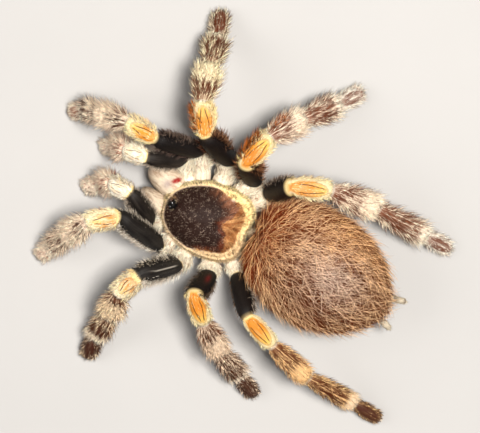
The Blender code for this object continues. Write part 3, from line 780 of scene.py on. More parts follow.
def trunk_markings(points):
    """Cream hair at the sides between the coxae, velvet black below, and in front and on the
    left a painted shadow of the carapace's rim beside it."""
    x, y = points[..., 0], points[..., 1]
    below = smooth(6.6, 5.2, points[..., 2])
    gap = np.hypot(x - PLATE_SHIFT, y) - plate_edge(np.arctan2(y, x - PLATE_SHIFT))
    # painted shadow: umber under the carapace's rim, in front and on the left
    painted_rim_shadow = smooth(1.3, 0.7, gap) * smooth(-3.0, 0.0, x) * smooth(8.5, 5.0, y)
    dark = mix(mix(tint(206, 140, 88), UMBER, painted_rim_shadow), BLACK, below)
    share = 0.76 + 0.4 * ripple(points, 2.0, 71) - 0.8 * np.maximum(below, painted_rim_shadow)
    return dark, mix(mix(CREAM, WHITE, 0.4), GREY, below), np.clip(share, 0, 1)


def skin_colour(points, dark, light, share, seed, shade=0.75):
    """The blend under the coat, a little darker than the hair, with soft blotches."""
    blotch = 0.12 * ripple(points, 1.3, seed)
    return mix(dark, light, share * np.clip(share + 0.3 + blotch, 0, 1)) * shade


# %% [markdown]
# ## One skin
# All the flesh is one piece: ten limb tubes, each without a break from the thorax to
# the foot, with the thorax, the pedicel and the abdomen. It stands for every flesh
# solid of the frame. A mesh for each segment would show its rims at the joints, so the
# segments share a tube. Each tube and ball has its own rectangle on the unwrap.

# %% The skin
trunk = ((abdomen_skin, abdomen_markings, 5), (thorax_skin, trunk_markings, 6),
         (pedicel_skin, trunk_markings, 7))
flesh = [(surface, skin_colour(surface.points, *markings(surface.points), seed))
         for surface, markings, seed in trunk]
for n, (name, surface) in enumerate(limb_skins.items()):
    markings, shade = limb_markings(name, *surface.grid()), 1.0 if name.startswith("palp") else 0.75
    flesh.append((surface, skin_colour(surface.points, *markings, 20 + n, shade)))
flesh_nodes = ["sternum_and_coxae", "pedicel", "abdomen"] + [
    f"{name}_{kind}" for name in LIMBS for kind in kinds_of(name)[1:]]


def knee_field(name):
    """Share along the knee, degrees from its top, and 1 on the knee's rows, for the bare lines."""
    station, angle = limb_skins[name].grid()
    station = marked_station(name, station)
    return np.stack([station - 2, np.degrees(angle) - 90, (station >= 2) & (station < 3)], -1)


knees = [surface.values(0 * surface.points) for surface, _, _ in trunk]
knees += [limb_skins[name].values(knee_field(name)) for name in LIMBS]
lay_piece("skin", flesh, sheet_places(13, 4), SKIN, "coxa_coat", flesh_nodes, np.vstack(knees))

# %% [markdown]
# ## The carapace
# The carapace is one hard plate: a dome with a raised head in front, a pit behind it
# where muscles pull inside, and shallow grooves that run out from the pit between the
# legs. It is dark with a pale rim that widens behind. The dome is a height over a grid
# in polar coordinates, so that the rim is one clean ring of points; the same ring goes
# round the lip and closes the plate from below.

# %% The carapace plate
RIM_HEIGHT, DOME_RISE, HEAD_RISE, PIT_DEPTH, GROOVE_DEPTH, LIP = 10.0, 5.0, 1.1, 0.9, 0.13, 0.15
HOLLOW_HEIGHT, HOLLOW_RISE = 9.0, 0.65        # the plate's underside: its middle, and its rim above that
PLATE_YAW = np.radians(4)
PIT = 2.4                                     # how far the pit is behind the plate's middle
GROOVES = (-152, -112, -68, -28, 28, 152)     # degrees from the side of the plate, round the pit


def plate_top(x, y, share):
    """Dome, head, pit and grooves: each groove is a valley exp(-(off its line / width)^2)."""
    dome = DOME_RISE * (1 - np.minimum(share, 1) ** 2.2) ** 1.05
    head = HEAD_RISE * bell(x / 4.2) * smooth(-1.0, 6.0, -y) * (1 - share ** 6)
    pit = PIT_DEPTH * bell(x / 1.4, (y - PIT - 0.12 * x * x) / 0.8)
    out, bearing = np.hypot(x, y - PIT), np.arctan2(y - PIT, x)
    valleys = sum(bell(out * np.abs(np.sin(bearing - groove)) / 0.8) * (np.cos(bearing - groove) > 0)
                  for groove in np.radians(GROOVES))
    grooves = GROOVE_DEPTH * valleys * smooth(1.2, 3.0, out) * smooth(1.0, 0.8, share)
    return RIM_HEIGHT + dome + head - pit - grooves


def turned(x, y, angle):
    """x and y turned to the left by an angle."""
    c, s = np.cos(angle), np.sin(angle)
    return c * x - s * y, s * x + c * y


def carapace_surface():
    """Rows run from the top's middle to the rim, round the lip and back underneath."""
    top, under = np.sin(np.linspace(0.02, 0.5, 56) * np.pi), np.linspace(0.985, 0.05, 12)
    share, turn = np.concatenate([top, under])[:, None], turns(168)[None]
    reach = share * plate_edge(turn)
    x, y = reach * np.cos(turn), reach * np.sin(turn)
    lip = LIP * np.sin(np.pi * smooth(0.86, 1.03, share))
    below = (np.arange(len(share)) >= len(top))[:, None]
    z = np.where(below, HOLLOW_HEIGHT + HOLLOW_RISE * share ** 4, plate_top(x, y, share) + lip)
    x, y = turned(x, y, PLATE_YAW)
    return Surface(np.stack([x + PLATE_SHIFT, y, z], -1), np.concatenate([top, 2 - under]))


# %% Markings of the carapace
RIM_BEARINGS = np.radians([-180, -140, -90, -45, -15, 0, 30, 60, 90, 120, 150, 180])    # 90 is behind
RIM_WIDTHS = 1.1, 0.8, 0.85, 0.6, 1.0, 1.7, 2.8, 3.2, 3.0, 3.4, 2.6, 1.1         # all that is not dark
CREAM_WIDTHS = 1.0, 0.75, 0.8, 0.5, 0.85, 1.5, 2.3, 2.6, 1.7, 2.2, 2.1, 1.0      # its clear cream part


def plate_markings(points):
    """A near black field with a cream rim, and gold between its two lobes at the rear.

    The field ends behind on a line that is 5.5 mm behind the middle, less 2.3 exp(-((x + 0.6) / 1.9)^2),
    and at the sides where the rim begins. A red-brown band lies along its edge.
    """
    x, y = turned(points[..., 0] - PLATE_SHIFT, points[..., 1], -PLATE_YAW)
    turn, out = np.arctan2(y, x), np.hypot(x, y)
    inside = plate_edge(turn) - out
    rim, clear = (np.interp(turn, RIM_BEARINGS, widths) for widths in (RIM_WIDTHS, CREAM_WIDTHS))
    wobble = sum(height * ripple(points, size, seed)
                 for height, size, seed in ((0.6, 2.2, 8), (0.4, 0.8, 18), (0.35, 0.45, 19)))
    wobble = wobble * smooth(0.8, 2.0, rim)
    past_rear = y - (5.5 - 2.3 * bell((x + 0.6) / 1.9))
    past = np.maximum(rim - inside, past_rear) + 0.7 * wobble     # how far past the field's edge
    outside, cream = smooth(-0.1, 0.5, past), smooth(0.35, -0.25, inside - clear + 0.4 * wobble)
    streak = ripple(np.stack([9 * turn, 0.25 * out, 0 * x], -1), 1.6, 61)
    fine = ripple(np.stack([24 * turn, 0.4 * out, 0 * x], -1), 1.6, 63)
    red = bell((past + 0.45) / (0.5 + 0.7 * smooth(0, -4, x))) * smooth(-3, 2, y)
    red = red * np.clip(0.75 + 0.7 * fine, 0, 1)
    band = mix(tint(110, 56, 36), tint(150, 92, 62), smooth(0, -5, x))
    dark = mix(mix(tint(43, 28, 23), band, 0.8 * red), tint(128, 76, 42), outside)
    grey = bell((x + 2.2) / 0.6, (y + 9.2) / 0.9)
    # painted light: the cream turns whiter over the last mm of the rim, where the lip slopes away from the
    # light
    pale = mix(mix(STRAW, tint(248, 212, 162), smooth(-6, 6, x)), WHITE, 0.25 * smooth(0.9, 0.2, inside))
    light = mix(tint(186, 164, 146), mix(tint(226, 172, 114), pale, cream), np.maximum(outside, grey))
    share = 0.4 * grey + 0.2 * red * smooth(0, -4, x) + outside * (0.28 + 0.35 * streak + 0.4 * fine) + cream
    return dark, light, np.clip(share, 0, 1)


plate = carapace_surface()
plate_colour = skin_colour(plate.points, *plate_markings(plate.points), 9, 0.95)
lay_piece("carapace_plate", [(plate, plate_colour)], [WHOLE], SHELL, "carapace_shell", ["carapace"])

# %% [markdown]
# ## Eyes
# Eight small eyes sit in two rows on one low mound at the front of the head. Two round
# dark ones look up; the others are oval, glassy and amber or pearly. Each is a ball
# sunk into the mound by more than half, because only the lens of a real one shows.

# %% The eye mound and its eyes
MOUND_MIDDLE, MOUND_SIZE = np.array([-0.1, -9.1, 13.9]), np.array([1.4, 1.1, 1.7])
MOUND_AXES = np.array([[0, 1, 0], [0, 0, 1], [1, 0, 0.0]])
AMBER, PEARL, JET = tint(70, 36, 16), tint(112, 98, 80), tint(10, 8, 9)
EYE_SUNK = 0.12             # how far the middle of an eye is inside the mound
EYES = (   # way from the mound's middle, half length, half width, colour
    ((0.34, -0.22, 0.9), 0.36, 0.36, JET), ((0.74, -0.52, 0.5), 0.46, 0.32, AMBER),
    ((0.56, 0.34, 0.78), 0.24, 0.18, PEARL), ((0.86, 0.2, 0.5), 0.42, 0.27, PEARL))


def ball(middle, axes, sizes, rows=14, columns=20):
    """An ellipsoid with its poles on the first axis."""
    t, turn, stations = ball_grid(rows, columns)
    ring = np.sqrt(1 - t ** 2)
    parts = [t + 0 * turn, ring * np.cos(turn), ring * np.sin(turn)]
    points = sum(part[..., None] * axis * size for part, axis, size in zip(parts, axes, sizes))
    return Surface(middle + points, stations)


mound = ball(MOUND_MIDDLE, MOUND_AXES, MOUND_SIZE[[1, 2, 0]], 28, 40)
crease = 0.05 * ripple(mound.points, 0.7, 4)
mound = Surface(mound.points + mound.normal * crease[..., None], mound.stations)
eyes = []
for (x, y, z), long_half, wide_half, colour in EYES:
    for side in (-1, 1):
        out = unit(np.array([x * side, y, z]))
        place = MOUND_MIDDLE + out / np.linalg.norm(out / MOUND_SIZE)
        over = unit(np.cross(out, (0.3 * side, 1.0, 0.0)))
        axes = np.array([over, np.cross(out, over), out])
        sizes = wide_half, long_half, 0.6 * wide_half + 0.08
        eyes.append((ball(place - EYE_SUNK * out, axes, sizes), colour))
lay_piece("eyes", eyes, sheet_places(8, 4), EYE, "eye_shell")
lay_piece("eye_hill", [(mound, tint(12, 8, 8))], [WHOLE], SHELL, "eye_shell", ["eye_mound"])

# %% [markdown]
# ## Jaws, fangs, spinnerets and claws
# The chelicerae are two stout basal joints that bend from level to straight down, and
# each carries a fang folded back under it. Two long spinnerets stand out behind. Each
# foot ends in two small claws, nearly lost in the hair. All of them are tubes whose
# width changes along a bent line: a curve object with a taper could make them too, but
# rings of points keep the rows that their markings and their hair follow.

# %% Bent limbs of the head
CHELICERAE = {              # root, heading, radius of its bend, stoutness
    "right": ((-3.3, -9.8, 7.9), np.radians(-12.0), 4.2, 1.22),
    "left": ((2.3, -9.8, 7.4), np.radians(-8.0), 3.9, 0.94)}
JAW_SLOPES, JAW_WIDTHS, JAW_HEIGHTS = (25, -80), (5.0, 5.2, 3.6), (4.9, 5.5, 4.0)
JAW_REACH = 1.12            # the whole jaw against its run from the first slope to the last
FANG_SLOPES, FANG_RADIUS, FANG_HALF = (-100, -190), 2.7, 0.85
FANG_COLOURS = (tint(70, 22, 12), tint(12, 8, 8))


def arc(start, heading, slopes, radius, steps, reach=1.0):
    """Centres of an arc in an upright plane; its slope runs evenly from the first to the last."""
    first, last = np.radians(slopes)
    slope = first + (last - first) * np.linspace(0, reach, steps)
    turn = np.sign(last - first)
    level = turn * radius * (np.sin(slope) - np.sin(first))
    climb = turn * radius * (np.cos(first) - np.cos(slope))
    ahead = np.array([np.sin(heading), -np.cos(heading), 0.0])
    return np.array(start) + level[:, None] * ahead + climb[:, None] * (0.0, 0.0, 1.0)


def bent_tube(centres, heading, half_widths, half_heights, columns):
    """Rings round a line of centres that stays in the upright plane of a heading."""
    across = np.array([-np.cos(heading), -np.sin(heading), 0.0])
    up = np.cross(across, unit(np.gradient(centres, axis=0)))
    return Surface(rings(centres, across, up, half_widths, half_heights, columns))


def round_end(t, start, length, stop):
    """1 up to the start of the end, then sqrt(1 - q^2), where q is the share of its length."""
    return np.sqrt(1 - ((t - start) / length).clip(0, stop) ** 2)


def jaw_surface(side):
    """A stout bent tube with a round end; half sizes follow three values along it."""
    start, heading, radius, stout = CHELICERAE[side]
    t = np.linspace(0, JAW_REACH, 44)
    cap = round_end(t, 0.97, 0.152, 0.995)
    half_width = 0.5 * stout * curve_through(JAW_WIDTHS, np.minimum(t, 1)) * cap
    half_height = 0.5 * curve_through(JAW_HEIGHTS, np.minimum(t, 1)) * cap
    centres = arc(start, heading, JAW_SLOPES, radius, len(t), JAW_REACH)
    return bent_tube(centres, heading, half_width, half_height, 48)


def fang_surface(side):
    """A horn that points down and curls back under the head, ending in a point."""
    start, heading, radius, _ = CHELICERAE[side]
    root = arc(start, heading, JAW_SLOPES, radius, 2)[-1]
    half = FANG_HALF * (1 - np.linspace(0, 1, 26)) ** 0.75 + 0.03
    return bent_tube(arc(root, heading, FANG_SLOPES, FANG_RADIUS, 26), heading, half, half, 20)


def jaw_markings(surface, side):
    """Beige with a rosy shade, and a small dark red patch at the base of the right one."""
    along, turn = surface.grid()
    dark = mix(tint(186, 150, 122), UMBER, 0.8 * underneath(turn, 0.6))
    share = 0.75 - 0.5 * smooth(0.2, -0.6, np.sin(turn)) - 0.15 * smooth(0.8, 1.0, along)
    lines = np.stack([3.0 * np.cos(turn + 0.8 * along), 3.0 * np.sin(turn + 0.8 * along), 1.2 * along], -1)
    share = share + 0.5 * ripple(lines, 0.5, 33) - 0.25 * smooth(0.3, 0.9, along)
    light = np.broadcast_to(tint(254, 234, 206), dark.shape)
    if side == "right":
        far, near = (along - 0.15) / 0.05, (np.degrees(turn) - 57) / 16
        red = smooth(1.6, 0.7, np.hypot(far - near, 0.45 * (far + near)))
        mauve = bell((along - 0.25) / 0.07, (np.degrees(turn) - 95) / 20)
        dark, light = (mix(mix(tone, tint(150, 128, 134), 0.7 * mauve), RED, red) for tone in (dark, light))
    return dark, light, np.clip(share, 0, 1)


jaws = {side: jaw_surface(side) for side in CHELICERAE}
for side, jaw in jaws.items():
    lay_piece(f"jaw_{side}", [(jaw, skin_colour(jaw.points, *jaw_markings(jaw, side), 31))], [WHOLE],
              SKIN, "jaw_coat", [f"chelicera_{side}"])
    fang = fang_surface(side)
    lay_piece(f"fang_horn_{side}", [(fang, mix(*FANG_COLOURS, smooth(0.0, 0.6, fang.grid()[0])))], [WHOLE],
              HORN, "fang_horn", [f"fang_{side}"])

# %% Spinnerets
SPINNERETS = {              # base, tip, how far it rises between them, how dark its rings are
    "right": ((0.0, 43.6, 8.6), (-1.7, 51.0, 10.2), 0.52, 0.6),
    "left": ((3.2, 43.4, 8.7), (5.9, 50.4, 9.9), 0.2, 0.25)}
PALE_SKIN, SPINNERET_DARK = tint(214, 202, 178), tint(92, 76, 62)


def spinneret_surface(side):
    """A finger of three joints that rises as sin(pi t)^2, each joint a little swollen."""
    base, tip, rise, _ = SPINNERETS[side]
    t = np.linspace(0, 1, 40)
    centres = np.outer(1 - t, base) + np.outer(t, tip)
    centres[:, 2] += rise * np.sin(np.pi * t) ** 2
    half = (0.95 - 0.35 * t) * (1 + 0.12 * np.abs(np.sin(3 * np.pi * t)))
    return tube(centres, half * round_end(t, 0.94, 0.062, 0.99))


spinnerets = {side: spinneret_surface(side) for side in SPINNERETS}
for side, finger in spinnerets.items():
    bands = 0.5 + 0.5 * np.cos(6 * np.pi * finger.grid()[0])
    shade = mix(PALE_SKIN, SPINNERET_DARK, 0.25 + SPINNERETS[side][3] * bands)
    lay_piece(f"spinneret_finger_{side}", [(finger, shade)], [WHOLE],
              SKIN, "spinneret_skin", [f"spinneret_{side}"])


# %% Claws
CLAW_REACH, CLAW_DROP, CLAW_HALF, CLAW_OFF_FLOOR = 1.25, 0.75, 0.15, 0.2
CLAW_SUNK, CLAW_ASIDE = 0.5, 0.35           # its root behind the foot's tip, and from the foot's middle


def claw_surfaces(name):
    """Two small hooks at the tip of a foot, side by side, bending to the floor."""
    path, t = joints[name], np.linspace(0, 1, 10)
    way = unit((path[-1] - path[-2]) * (1, 1, 0.4))
    across, up = axes_of(way)
    for side in (-1, 1):
        root = path[-1] - CLAW_SUNK * way + CLAW_ASIDE * side * across + CLAW_ASIDE * up
        centres = (root + np.outer(CLAW_REACH * np.sin(1.3 * t), way)
                   - np.outer(CLAW_DROP * (1 - np.cos(1.5 * t)), up))
        centres[:, 2] = np.maximum(centres[:, 2], CLAW_OFF_FLOOR)
        yield tube(centres, CLAW_HALF * (1 - t) ** 0.7 + 0.015)


claws = [claw for name in LIMBS for claw in claw_surfaces(name)]
lay_piece("claws", [(claw, mix(*FANG_COLOURS, claw.grid()[0])) for claw in claws], sheet_places(20, 5),
          HORN, "fang_horn")

# %% [markdown]
# ## Hair
# Each hair is a thin closed spike with a three-cornered section: it leaves the skin at
# some angle and bends back along the body. Blender's own hair curves are lighter, but
# few other programs can read them. A few triangles are enough for one hair, and its
# patch on the unwrap sits where its root is, so its colour can be baked there.

# %% Growing hair on a surface
PATCH = 0.003               # size of one hair's patch on the unwrap
ROOT_DEPTH = 0.08           # how far a hair's root is sunk
FLOOR_GAP = 0.03            # hair that would pass through the floor is pressed flat above it


def hair_faces(bands):
    """Triangles of one hair of some bands: the bands' sides, then its point and its root."""
    c, n = np.arange(3), (np.arange(3) + 1) % 3
    sides = [np.concatenate([np.stack([3 * r + c, 3 * r + n, 3 * r + 3 + n], -1),
                             np.stack([3 * r + c, 3 * r + 3 + n, 3 * r + 3 + c], -1)])
             for r in range(bands - 1)]
    top = 3 * (bands - 1)
    point, root = np.stack([top + c, top + n, 0 * c + 3 * bands], -1), np.array([[0, 2, 1]])
    return np.concatenate(sides + [point, root])


class Coat:
    """Hairs gathered into one piece."""

    def __init__(self, name, slot):
        self.name, self.slot, self.parts, self.count = name, slot, [], 0

    def grow(self, roots, lie, look, bands=1):
        """Add hairs. look is (length, width, lift in radians, droop, root colour, tip colour).

        At a share q of its length a hair is at root + length (q start + q^2 / 2 (end - start)),
        where start rises from the skin by the lift, and end by the lift times the droop. Its
        half width is half the width times (1 - q)^0.6.
        """
        length, width, lift, droop, base, tip = look
        lift, normal = lift[:, None], roots.normal
        start = lie * np.cos(lift) + normal * np.sin(lift)
        end = lie * np.cos(lift * droop) + normal * np.sin(lift * droop)
        over = unit(np.cross(start, normal))
        q, root = np.linspace(0, 1, bands + 1)[:-1], roots.point - ROOT_DEPTH * normal
        bend = q[:, None] * start[:, None] + (0.5 * q ** 2)[:, None] * (end - start)[:, None]
        middle = root[:, None] + length[:, None, None] * bend
        half = 0.5 * width[:, None] * (1 - q) ** 0.6
        spokes = (over[:, None] * np.cos(turns(3))[:, None]
                  + np.cross(start, over)[:, None] * np.sin(turns(3))[:, None])
        body = middle[:, :, None] + half[..., None, None] * spokes[:, None]
        point = root + length[:, None] * (start + 0.5 * (end - start))
        points = np.concatenate([body.reshape(len(root), -1, 3), point[:, None]], axis=1)
        points[..., 2] = np.maximum(points[..., 2], FLOOR_GAP)
        shares = np.append(np.repeat(q, 3), 1.0)
        colours = base[:, None] + (tip - base)[:, None] * shares[:, None]
        spots = np.stack([np.append(np.tile([0, 0.5, 1.0], bands), 0.5), shares], -1) * PATCH
        places = np.clip(roots.place, 0.002, 0.994)[:, None] + spots
        first = self.count + np.arange(len(root))[:, None, None] * len(shares)
        self.parts.append([each.reshape(-1, each.shape[-1])
                           for each in (points, first + hair_faces(bands), colours, places)])
        self.count += len(root) * len(shares)

    def finish(self):
        """Join the hairs into one piece on the still body."""
        points, triangles, colours, places = (np.concatenate(each) for each in zip(*self.parts))
        make_piece(self.name, points, triangles, colours, places[triangles], HAIR, self.slot)


def combed(roots, lie, rng, spread, wave, size, seed):
    """Turn the lie about the normal: a little for each hair, and in soft waves over the coat."""
    turn = (spread * rng.normal(size=len(lie)) + wave * ripple(roots.point, size, seed))[:, None]
    return unit(lie * np.cos(turn) + np.cross(roots.normal, lie) * np.sin(turn))


def hair_colours(rng, dark, light, share, tip_light=0.35, contrast=0.3):
    """Most hairs are dark or light as the share says; tips are lighter, and each hair differs."""
    pick = smooth(-0.08, 0.08, share * 1.1 - 0.02 - rng.random(len(share)))
    base = mix(dark, light, pick)
    base = base * (1 + contrast * rng.uniform(-1, 1, (len(share), 1)))
    tip = mix(base, light, np.clip(tip_light * (0.03 + 0.32 * share + 0.65 * pick), 0, 1))
    return base * (0.65 + 0.25 * pick[:, None]), tip


# %% [markdown]
# ## The coat of the legs
# A short dense coat covers every segment and longer guard hairs stand out of it: few on
# the velvety femora, except along their lower edges, and many on the tibiae and
# metatarsi. The two bare lines on each knee stay free. The feet have the shortest hair.

# %% Hair of each segment
LEG_HAIR = {   # short hair: length, lift; long hair: length and lift at the sides, then on top; how many
    "coxa": (1.5, 14, 2.6, 34, 2.2, 18, 1.6), "femur": (0.45, 8, 1.8, 50, 0.8, 15, 0.45),
    "patella": (0.8, 16, 1.7, 45, 0.9, 15, 0.9), "tibia": (1.2, 10, 3.4, 38, 2.0, 12, 1.0),
    "metatarsus": (1.2, 11, 3.4, 37, 2.3, 13, 1.0), "tarsus": (0.8, 15, 1.9, 48, 0.9, 20, 0.9)}
PALP_HAIRS, LEG_HAIRS = (7000, 4200), (11000, 4300)     # short and long ones of one limb
SLEEK = {"leg_4_left": 0.68, "leg_3_left": 0.9, "leg_2_left": 0.95, "palp_right": 1.12,
         "palp_left": 1.12, "leg_1_left": 1.05}         # length of its hair against that of the others


def by_segment(name, station):
    """The table's seven values at each place, by its segment."""
    return np.array([LEG_HAIR[kind] for kind in kinds_of(name)])[segment_of(name, station)]


def long_hair_weight(name, station, angle):
    """Guard hairs grow at the edges of femur and knee, and all round the others but thinner on top."""
    edge = smooth(0.75, 0.1, np.sin(angle))
    thin = 1 - 0.4 * smooth(0.5, 0.95, np.sin(angle)) * smooth(0.35, 0.6, station % 1)
    femur_or_knee = (station >= 1) & (station < 3)
    return by_segment(name, station)[..., -1] * np.where(femur_or_knee, edge, thin)


def bare_places(name, station, angle):
    """1 on the lines of the knee and the stripes of the femur, where the short coat leaves them bare."""
    station = marked_station(name, station)
    knee, femur = (station >= 2) & (station < 3), (station >= 1) & (station < 2)
    return (knee * bare_lines(station % 1, angle)
            + femur * (LIMB_TONES[name].stripe > 0.3) * femur_stripes(station % 1, angle))


def grow_on_limb(coat, name, rectangle, seed):
    """The short and the long coat of one limb, in its own rectangle of the unwrap.

    Guard hairs are shorter just after a joint, stand out most at the sides, and flare at the
    end of a segment.
    """
    rng, surface, pale = np.random.default_rng(seed), limb_skins[name], is_pale(name)
    grid = surface.grid()
    palp_or_leg = PALP_HAIRS if name.startswith("palp") else LEG_HAIRS
    for long_coat, count in enumerate(palp_or_leg):
        weight = long_hair_weight(name, *grid) if long_coat else 1 - bare_places(name, *grid)
        roots = surface.roots(rng, count, weight * smooth(0.4, 0.7, grid[0]), rectangle)
        here = np.interp(roots.row, np.arange(surface.rows), surface.stations)
        around = roots.column * 2 * np.pi / surface.columns
        spread = (0.2 if long_coat else 0.12) + 0.2 * (here < 1)
        lie = combed(roots, roots.lie, rng, spread, 0.25, 2.0, seed)
        dark, light, share = limb_markings(name, here, around)
        share = share + 0.5 * long_coat * (here > 1.1) * (here < 2)
        tip_light = (0.5 if long_coat else 0.15) * (1.9 if pale else 1)
        base, tip = hair_colours(rng, dark, light, share, tip_light, 0.58 if pale else 0.4)
        top, sleek = smooth(0.3, 0.95, np.sin(around)), SLEEK.get(name, 1.0)
        sleek = np.where(here < 3, min(sleek, 1.0), sleek)
        length, lift, side_length, side_lift, top_length, top_lift, _ = by_segment(name, here).T
        if long_coat:
            length = (side_length + (top_length - side_length) * top) * (0.5 + 0.5 * smooth(0, 0.3, here % 1))
            lift = (side_lift + (top_lift - side_lift) * top) * (0.6 + 0.4 * sleek)
            lift = lift * (1 + 0.3 * smooth(0.7, 0.95, here % 1))
        thick = rng.uniform(*((0.08, 0.15) if long_coat else (0.12, 0.19)), count)
        length = length * sleek * rng.uniform(0.6, 1.25, count)
        lift = np.radians(lift) * rng.uniform(0.5, 1.5, count)
        coat.grow(roots, lie, (length, thick, lift, 0.5, base, tip), 1 + long_coat)


# %% [markdown]
# Some edges carry a denser fringe: grey under the front femora, brown behind the
# second and third femur, and rusty in front of their knees.

# %% Fringes
FRINGES = (    # limb, stations, degrees round it, length, dark, light, hairs
    ("palp_right", 1.1, 1.9, 0, 1.2, COAL, GREY, 200),
    ("palp_left", 1.15, 1.95, 180, 1.3, COAL, GREY, 260),
    ("leg_1_right", 1.15, 1.95, 15, 1.6, COAL, tint(140, 120, 106), 420),
    ("leg_1_left", 1.05, 2.1, 180, 1.9, GREY, WHITE, 700),
    ("leg_2_left", 1.0, 2.1, 180, 2.4, GREY, WHITE, 800),
    ("leg_2_left", 1.05, 2.0, 8, 1.2, COAL, tint(210, 196, 172), 260),
    ("leg_3_left", 1.1, 1.98, 180, 2.1, UMBER, tint(150, 132, 112), 460),
    ("leg_2_right", 1.45, 1.98, 5, 3.0, UMBER, tint(158, 116, 86), 380),
    ("leg_3_right", 1.45, 1.98, 5, 3.2, UMBER, tint(170, 118, 82), 420),
    ("leg_2_right", 2.1, 2.9, 172, 2.3, UMBER, tint(206, 116, 48), 300),
    ("leg_3_right", 2.05, 2.8, 172, 2.6, UMBER, tint(206, 116, 48), 330),
    ("leg_3_right", 3.05, 3.6, 168, 2.4, RUST, tint(214, 124, 52), 60),
    ("leg_2_right", 2.2, 2.95, 8, 1.8, STRAW, CREAM, 200),
    ("leg_1_right", 2.1, 2.95, 10, 1.5, GREY, CREAM, 260),
    ("leg_2_left", 2.1, 2.95, 175, 1.5, GREY, CREAM, 200),
    ("leg_2_left", 2.1, 2.95, 5, 1.5, GREY, CREAM, 200),
    ("leg_1_left", 2.1, 2.95, 175, 1.3, GREY, CREAM, 200),
    ("palp_left", 2.1, 2.95, 10, 1.2, GREY, CREAM, 160),
    ("leg_4_right", 1.2, 1.9, 180, 1.6, COAL, GREY, 200),
    ("leg_4_left", 1.2, 1.95, 180, 2.0, COAL, GREY, 200))
FRINGE_SPREAD = 30          # degrees round the limb


def grow_fringe(coat, fringe, rectangle, seed):
    """A dense row of hairs about one line along a limb, as exp(-(degrees off it / spread)^2)."""
    name, first, last, bearing, length, dark, light, count = fringe
    rng = np.random.default_rng(seed)
    station, angle = limb_skins[name].grid()
    off = (np.degrees(angle) - bearing + 180) % 360 - 180
    weight = bell(off / FRINGE_SPREAD) * (station > first) * (station < last)
    roots = limb_skins[name].roots(rng, count, weight, rectangle)
    lie = combed(roots, roots.lie, rng, 0.25, 0.35, 1.6, seed)
    base, tip = hair_colours(rng, dark, light, np.full(count, 0.4), 0.6)
    look = (length * rng.uniform(0.45, 1.3, count), rng.uniform(0.1, 0.16, count),
            np.radians(rng.uniform(10, 75, count)), 0.5, base, tip)
    coat.grow(roots, lie, look, 2)


for number, pair in enumerate(COXA_ROOTS):
    coat = Coat(f"coat_{pair}", "tarsus_coat" if pair == "palp" else "tibia_coat")
    for half, (side, rectangle) in enumerate(zip(("right", "left"), sheet_places(2, 2))):
        name = f"{pair}_{side}"
        grow_on_limb(coat, name, rectangle, 100 + 10 * number + half)
        for order, fringe in enumerate(FRINGES):
            if fringe[0] == name:
                grow_fringe(coat, fringe, rectangle, 150 + order)
    coat.finish()

# %% [markdown]
# ## The coat of the abdomen
# The abdomen has the longest and densest coat: a short brown layer, and over it long
# curved hairs with golden tips that lie backwards and cross each other. The sides and
# the belly are shorter and darker.

# %% Abdomen hair
def grow_on_abdomen(name, count, length, lift, thick, bands, seed, spread, tip_light, shade, extra):
    """One layer of the abdomen's coat: shade darkens its dark hairs, extra makes more of them light."""
    rng = np.random.default_rng(seed)
    weight = 0.4 + 0.6 * smooth(-0.5, 0.2, np.sin(abdomen_skin.grid()[1]))
    roots = abdomen_skin.roots(rng, count, weight, WHOLE)
    swirl = 0.3 * np.cross(roots.lie, roots.normal) * ripple(roots.point, 16.0, 77)[:, None]
    lie = combed(roots, unit(roots.lie + swirl), rng, spread, 0.32, 3.5, seed)
    dark, light, share = abdomen_markings(roots.point)
    light = mix(light, WHITE, 0.15 * extra)
    share = share * (0.4 + 0.6 * tip_light) + extra
    base, tip = hair_colours(rng, dark * shade, light, share, tip_light)
    length = length * rng.uniform(0.55, 1.35, count) * (1 - 0.5 * smooth(12.0, 5.0, roots.point[:, 2]))
    thick = thick * rng.uniform(0.75, 1.25, count)
    lift = np.radians(lift) * rng.uniform(0.4, 1.6, count)
    coat = Coat(name, "abdomen_coat")
    coat.grow(roots, lie, (length, thick, lift, 0.3, base, tip), bands)
    coat.finish()


for layer in (   # piece, hairs, length, lift, width, bands, seed, spread, light of the tips, shade, extra
        ("coat_abdomen_short", 29900, 2.0, 16, 0.2, 1, 201, 0.35, 0.1, 0.78, 0.0),
        ("coat_abdomen_long", 17500, 4.2, 22, 0.13, 2, 202, 0.42, 0.6, 0.94, 0.0),
        ("coat_abdomen_strands", 5000, 5.4, 27, 0.115, 3, 203, 0.75, 1.0, 1.0, 0.6)):
    grow_on_abdomen(*layer)

# %% [markdown]
# ## Hair of the carapace, the jaws and the spinnerets
# The plate has a thin fuzz of short hairs that point away from the pit, and a fringe
# round its rim. Where the markings are gold the fuzz is dense and long. The jaws and
# the spinnerets have fine short hair, and the flesh between the coxae a long cream one.

# %% Carapace hair
SPECKS_AND_GLINTS = 0.26               # share of light hairs on the dark field, partly specks of its hair and partly painted glints
FEATHER = 0.09              # how far a hair's colour strays over a marking's edge, as a share of its place
plate_station, plate_pale = plate.grid()[0], plate_markings(plate.points)[2]
dark_field, pale_field, rim_band = (smooth(*limits, field) for *limits, field in (
    (0.6, 0.2, plate_pale), (0.2, 0.6, plate_pale), (0.93, 0.99, plate_station)))
PLATE_COAT = (   # weight, hairs, length, lift, width, spread and bands: specks with painted glints, gold and the rim's fringe
    (dark_field * (plate_station < 0.98), 9000, (0.3, 0.8), (5, 30), (0.08, 0.13), 0.9, 1),
    (pale_field * (plate_station < 1.0), 7000, (0.7, 1.7), (3, 16), (0.08, 0.13), 0.3, 1),
    (rim_band * (plate_station < 1.02), 3600, (0.4, 1.0), (0, 22), (0.08, 0.14), 0.4, 2))

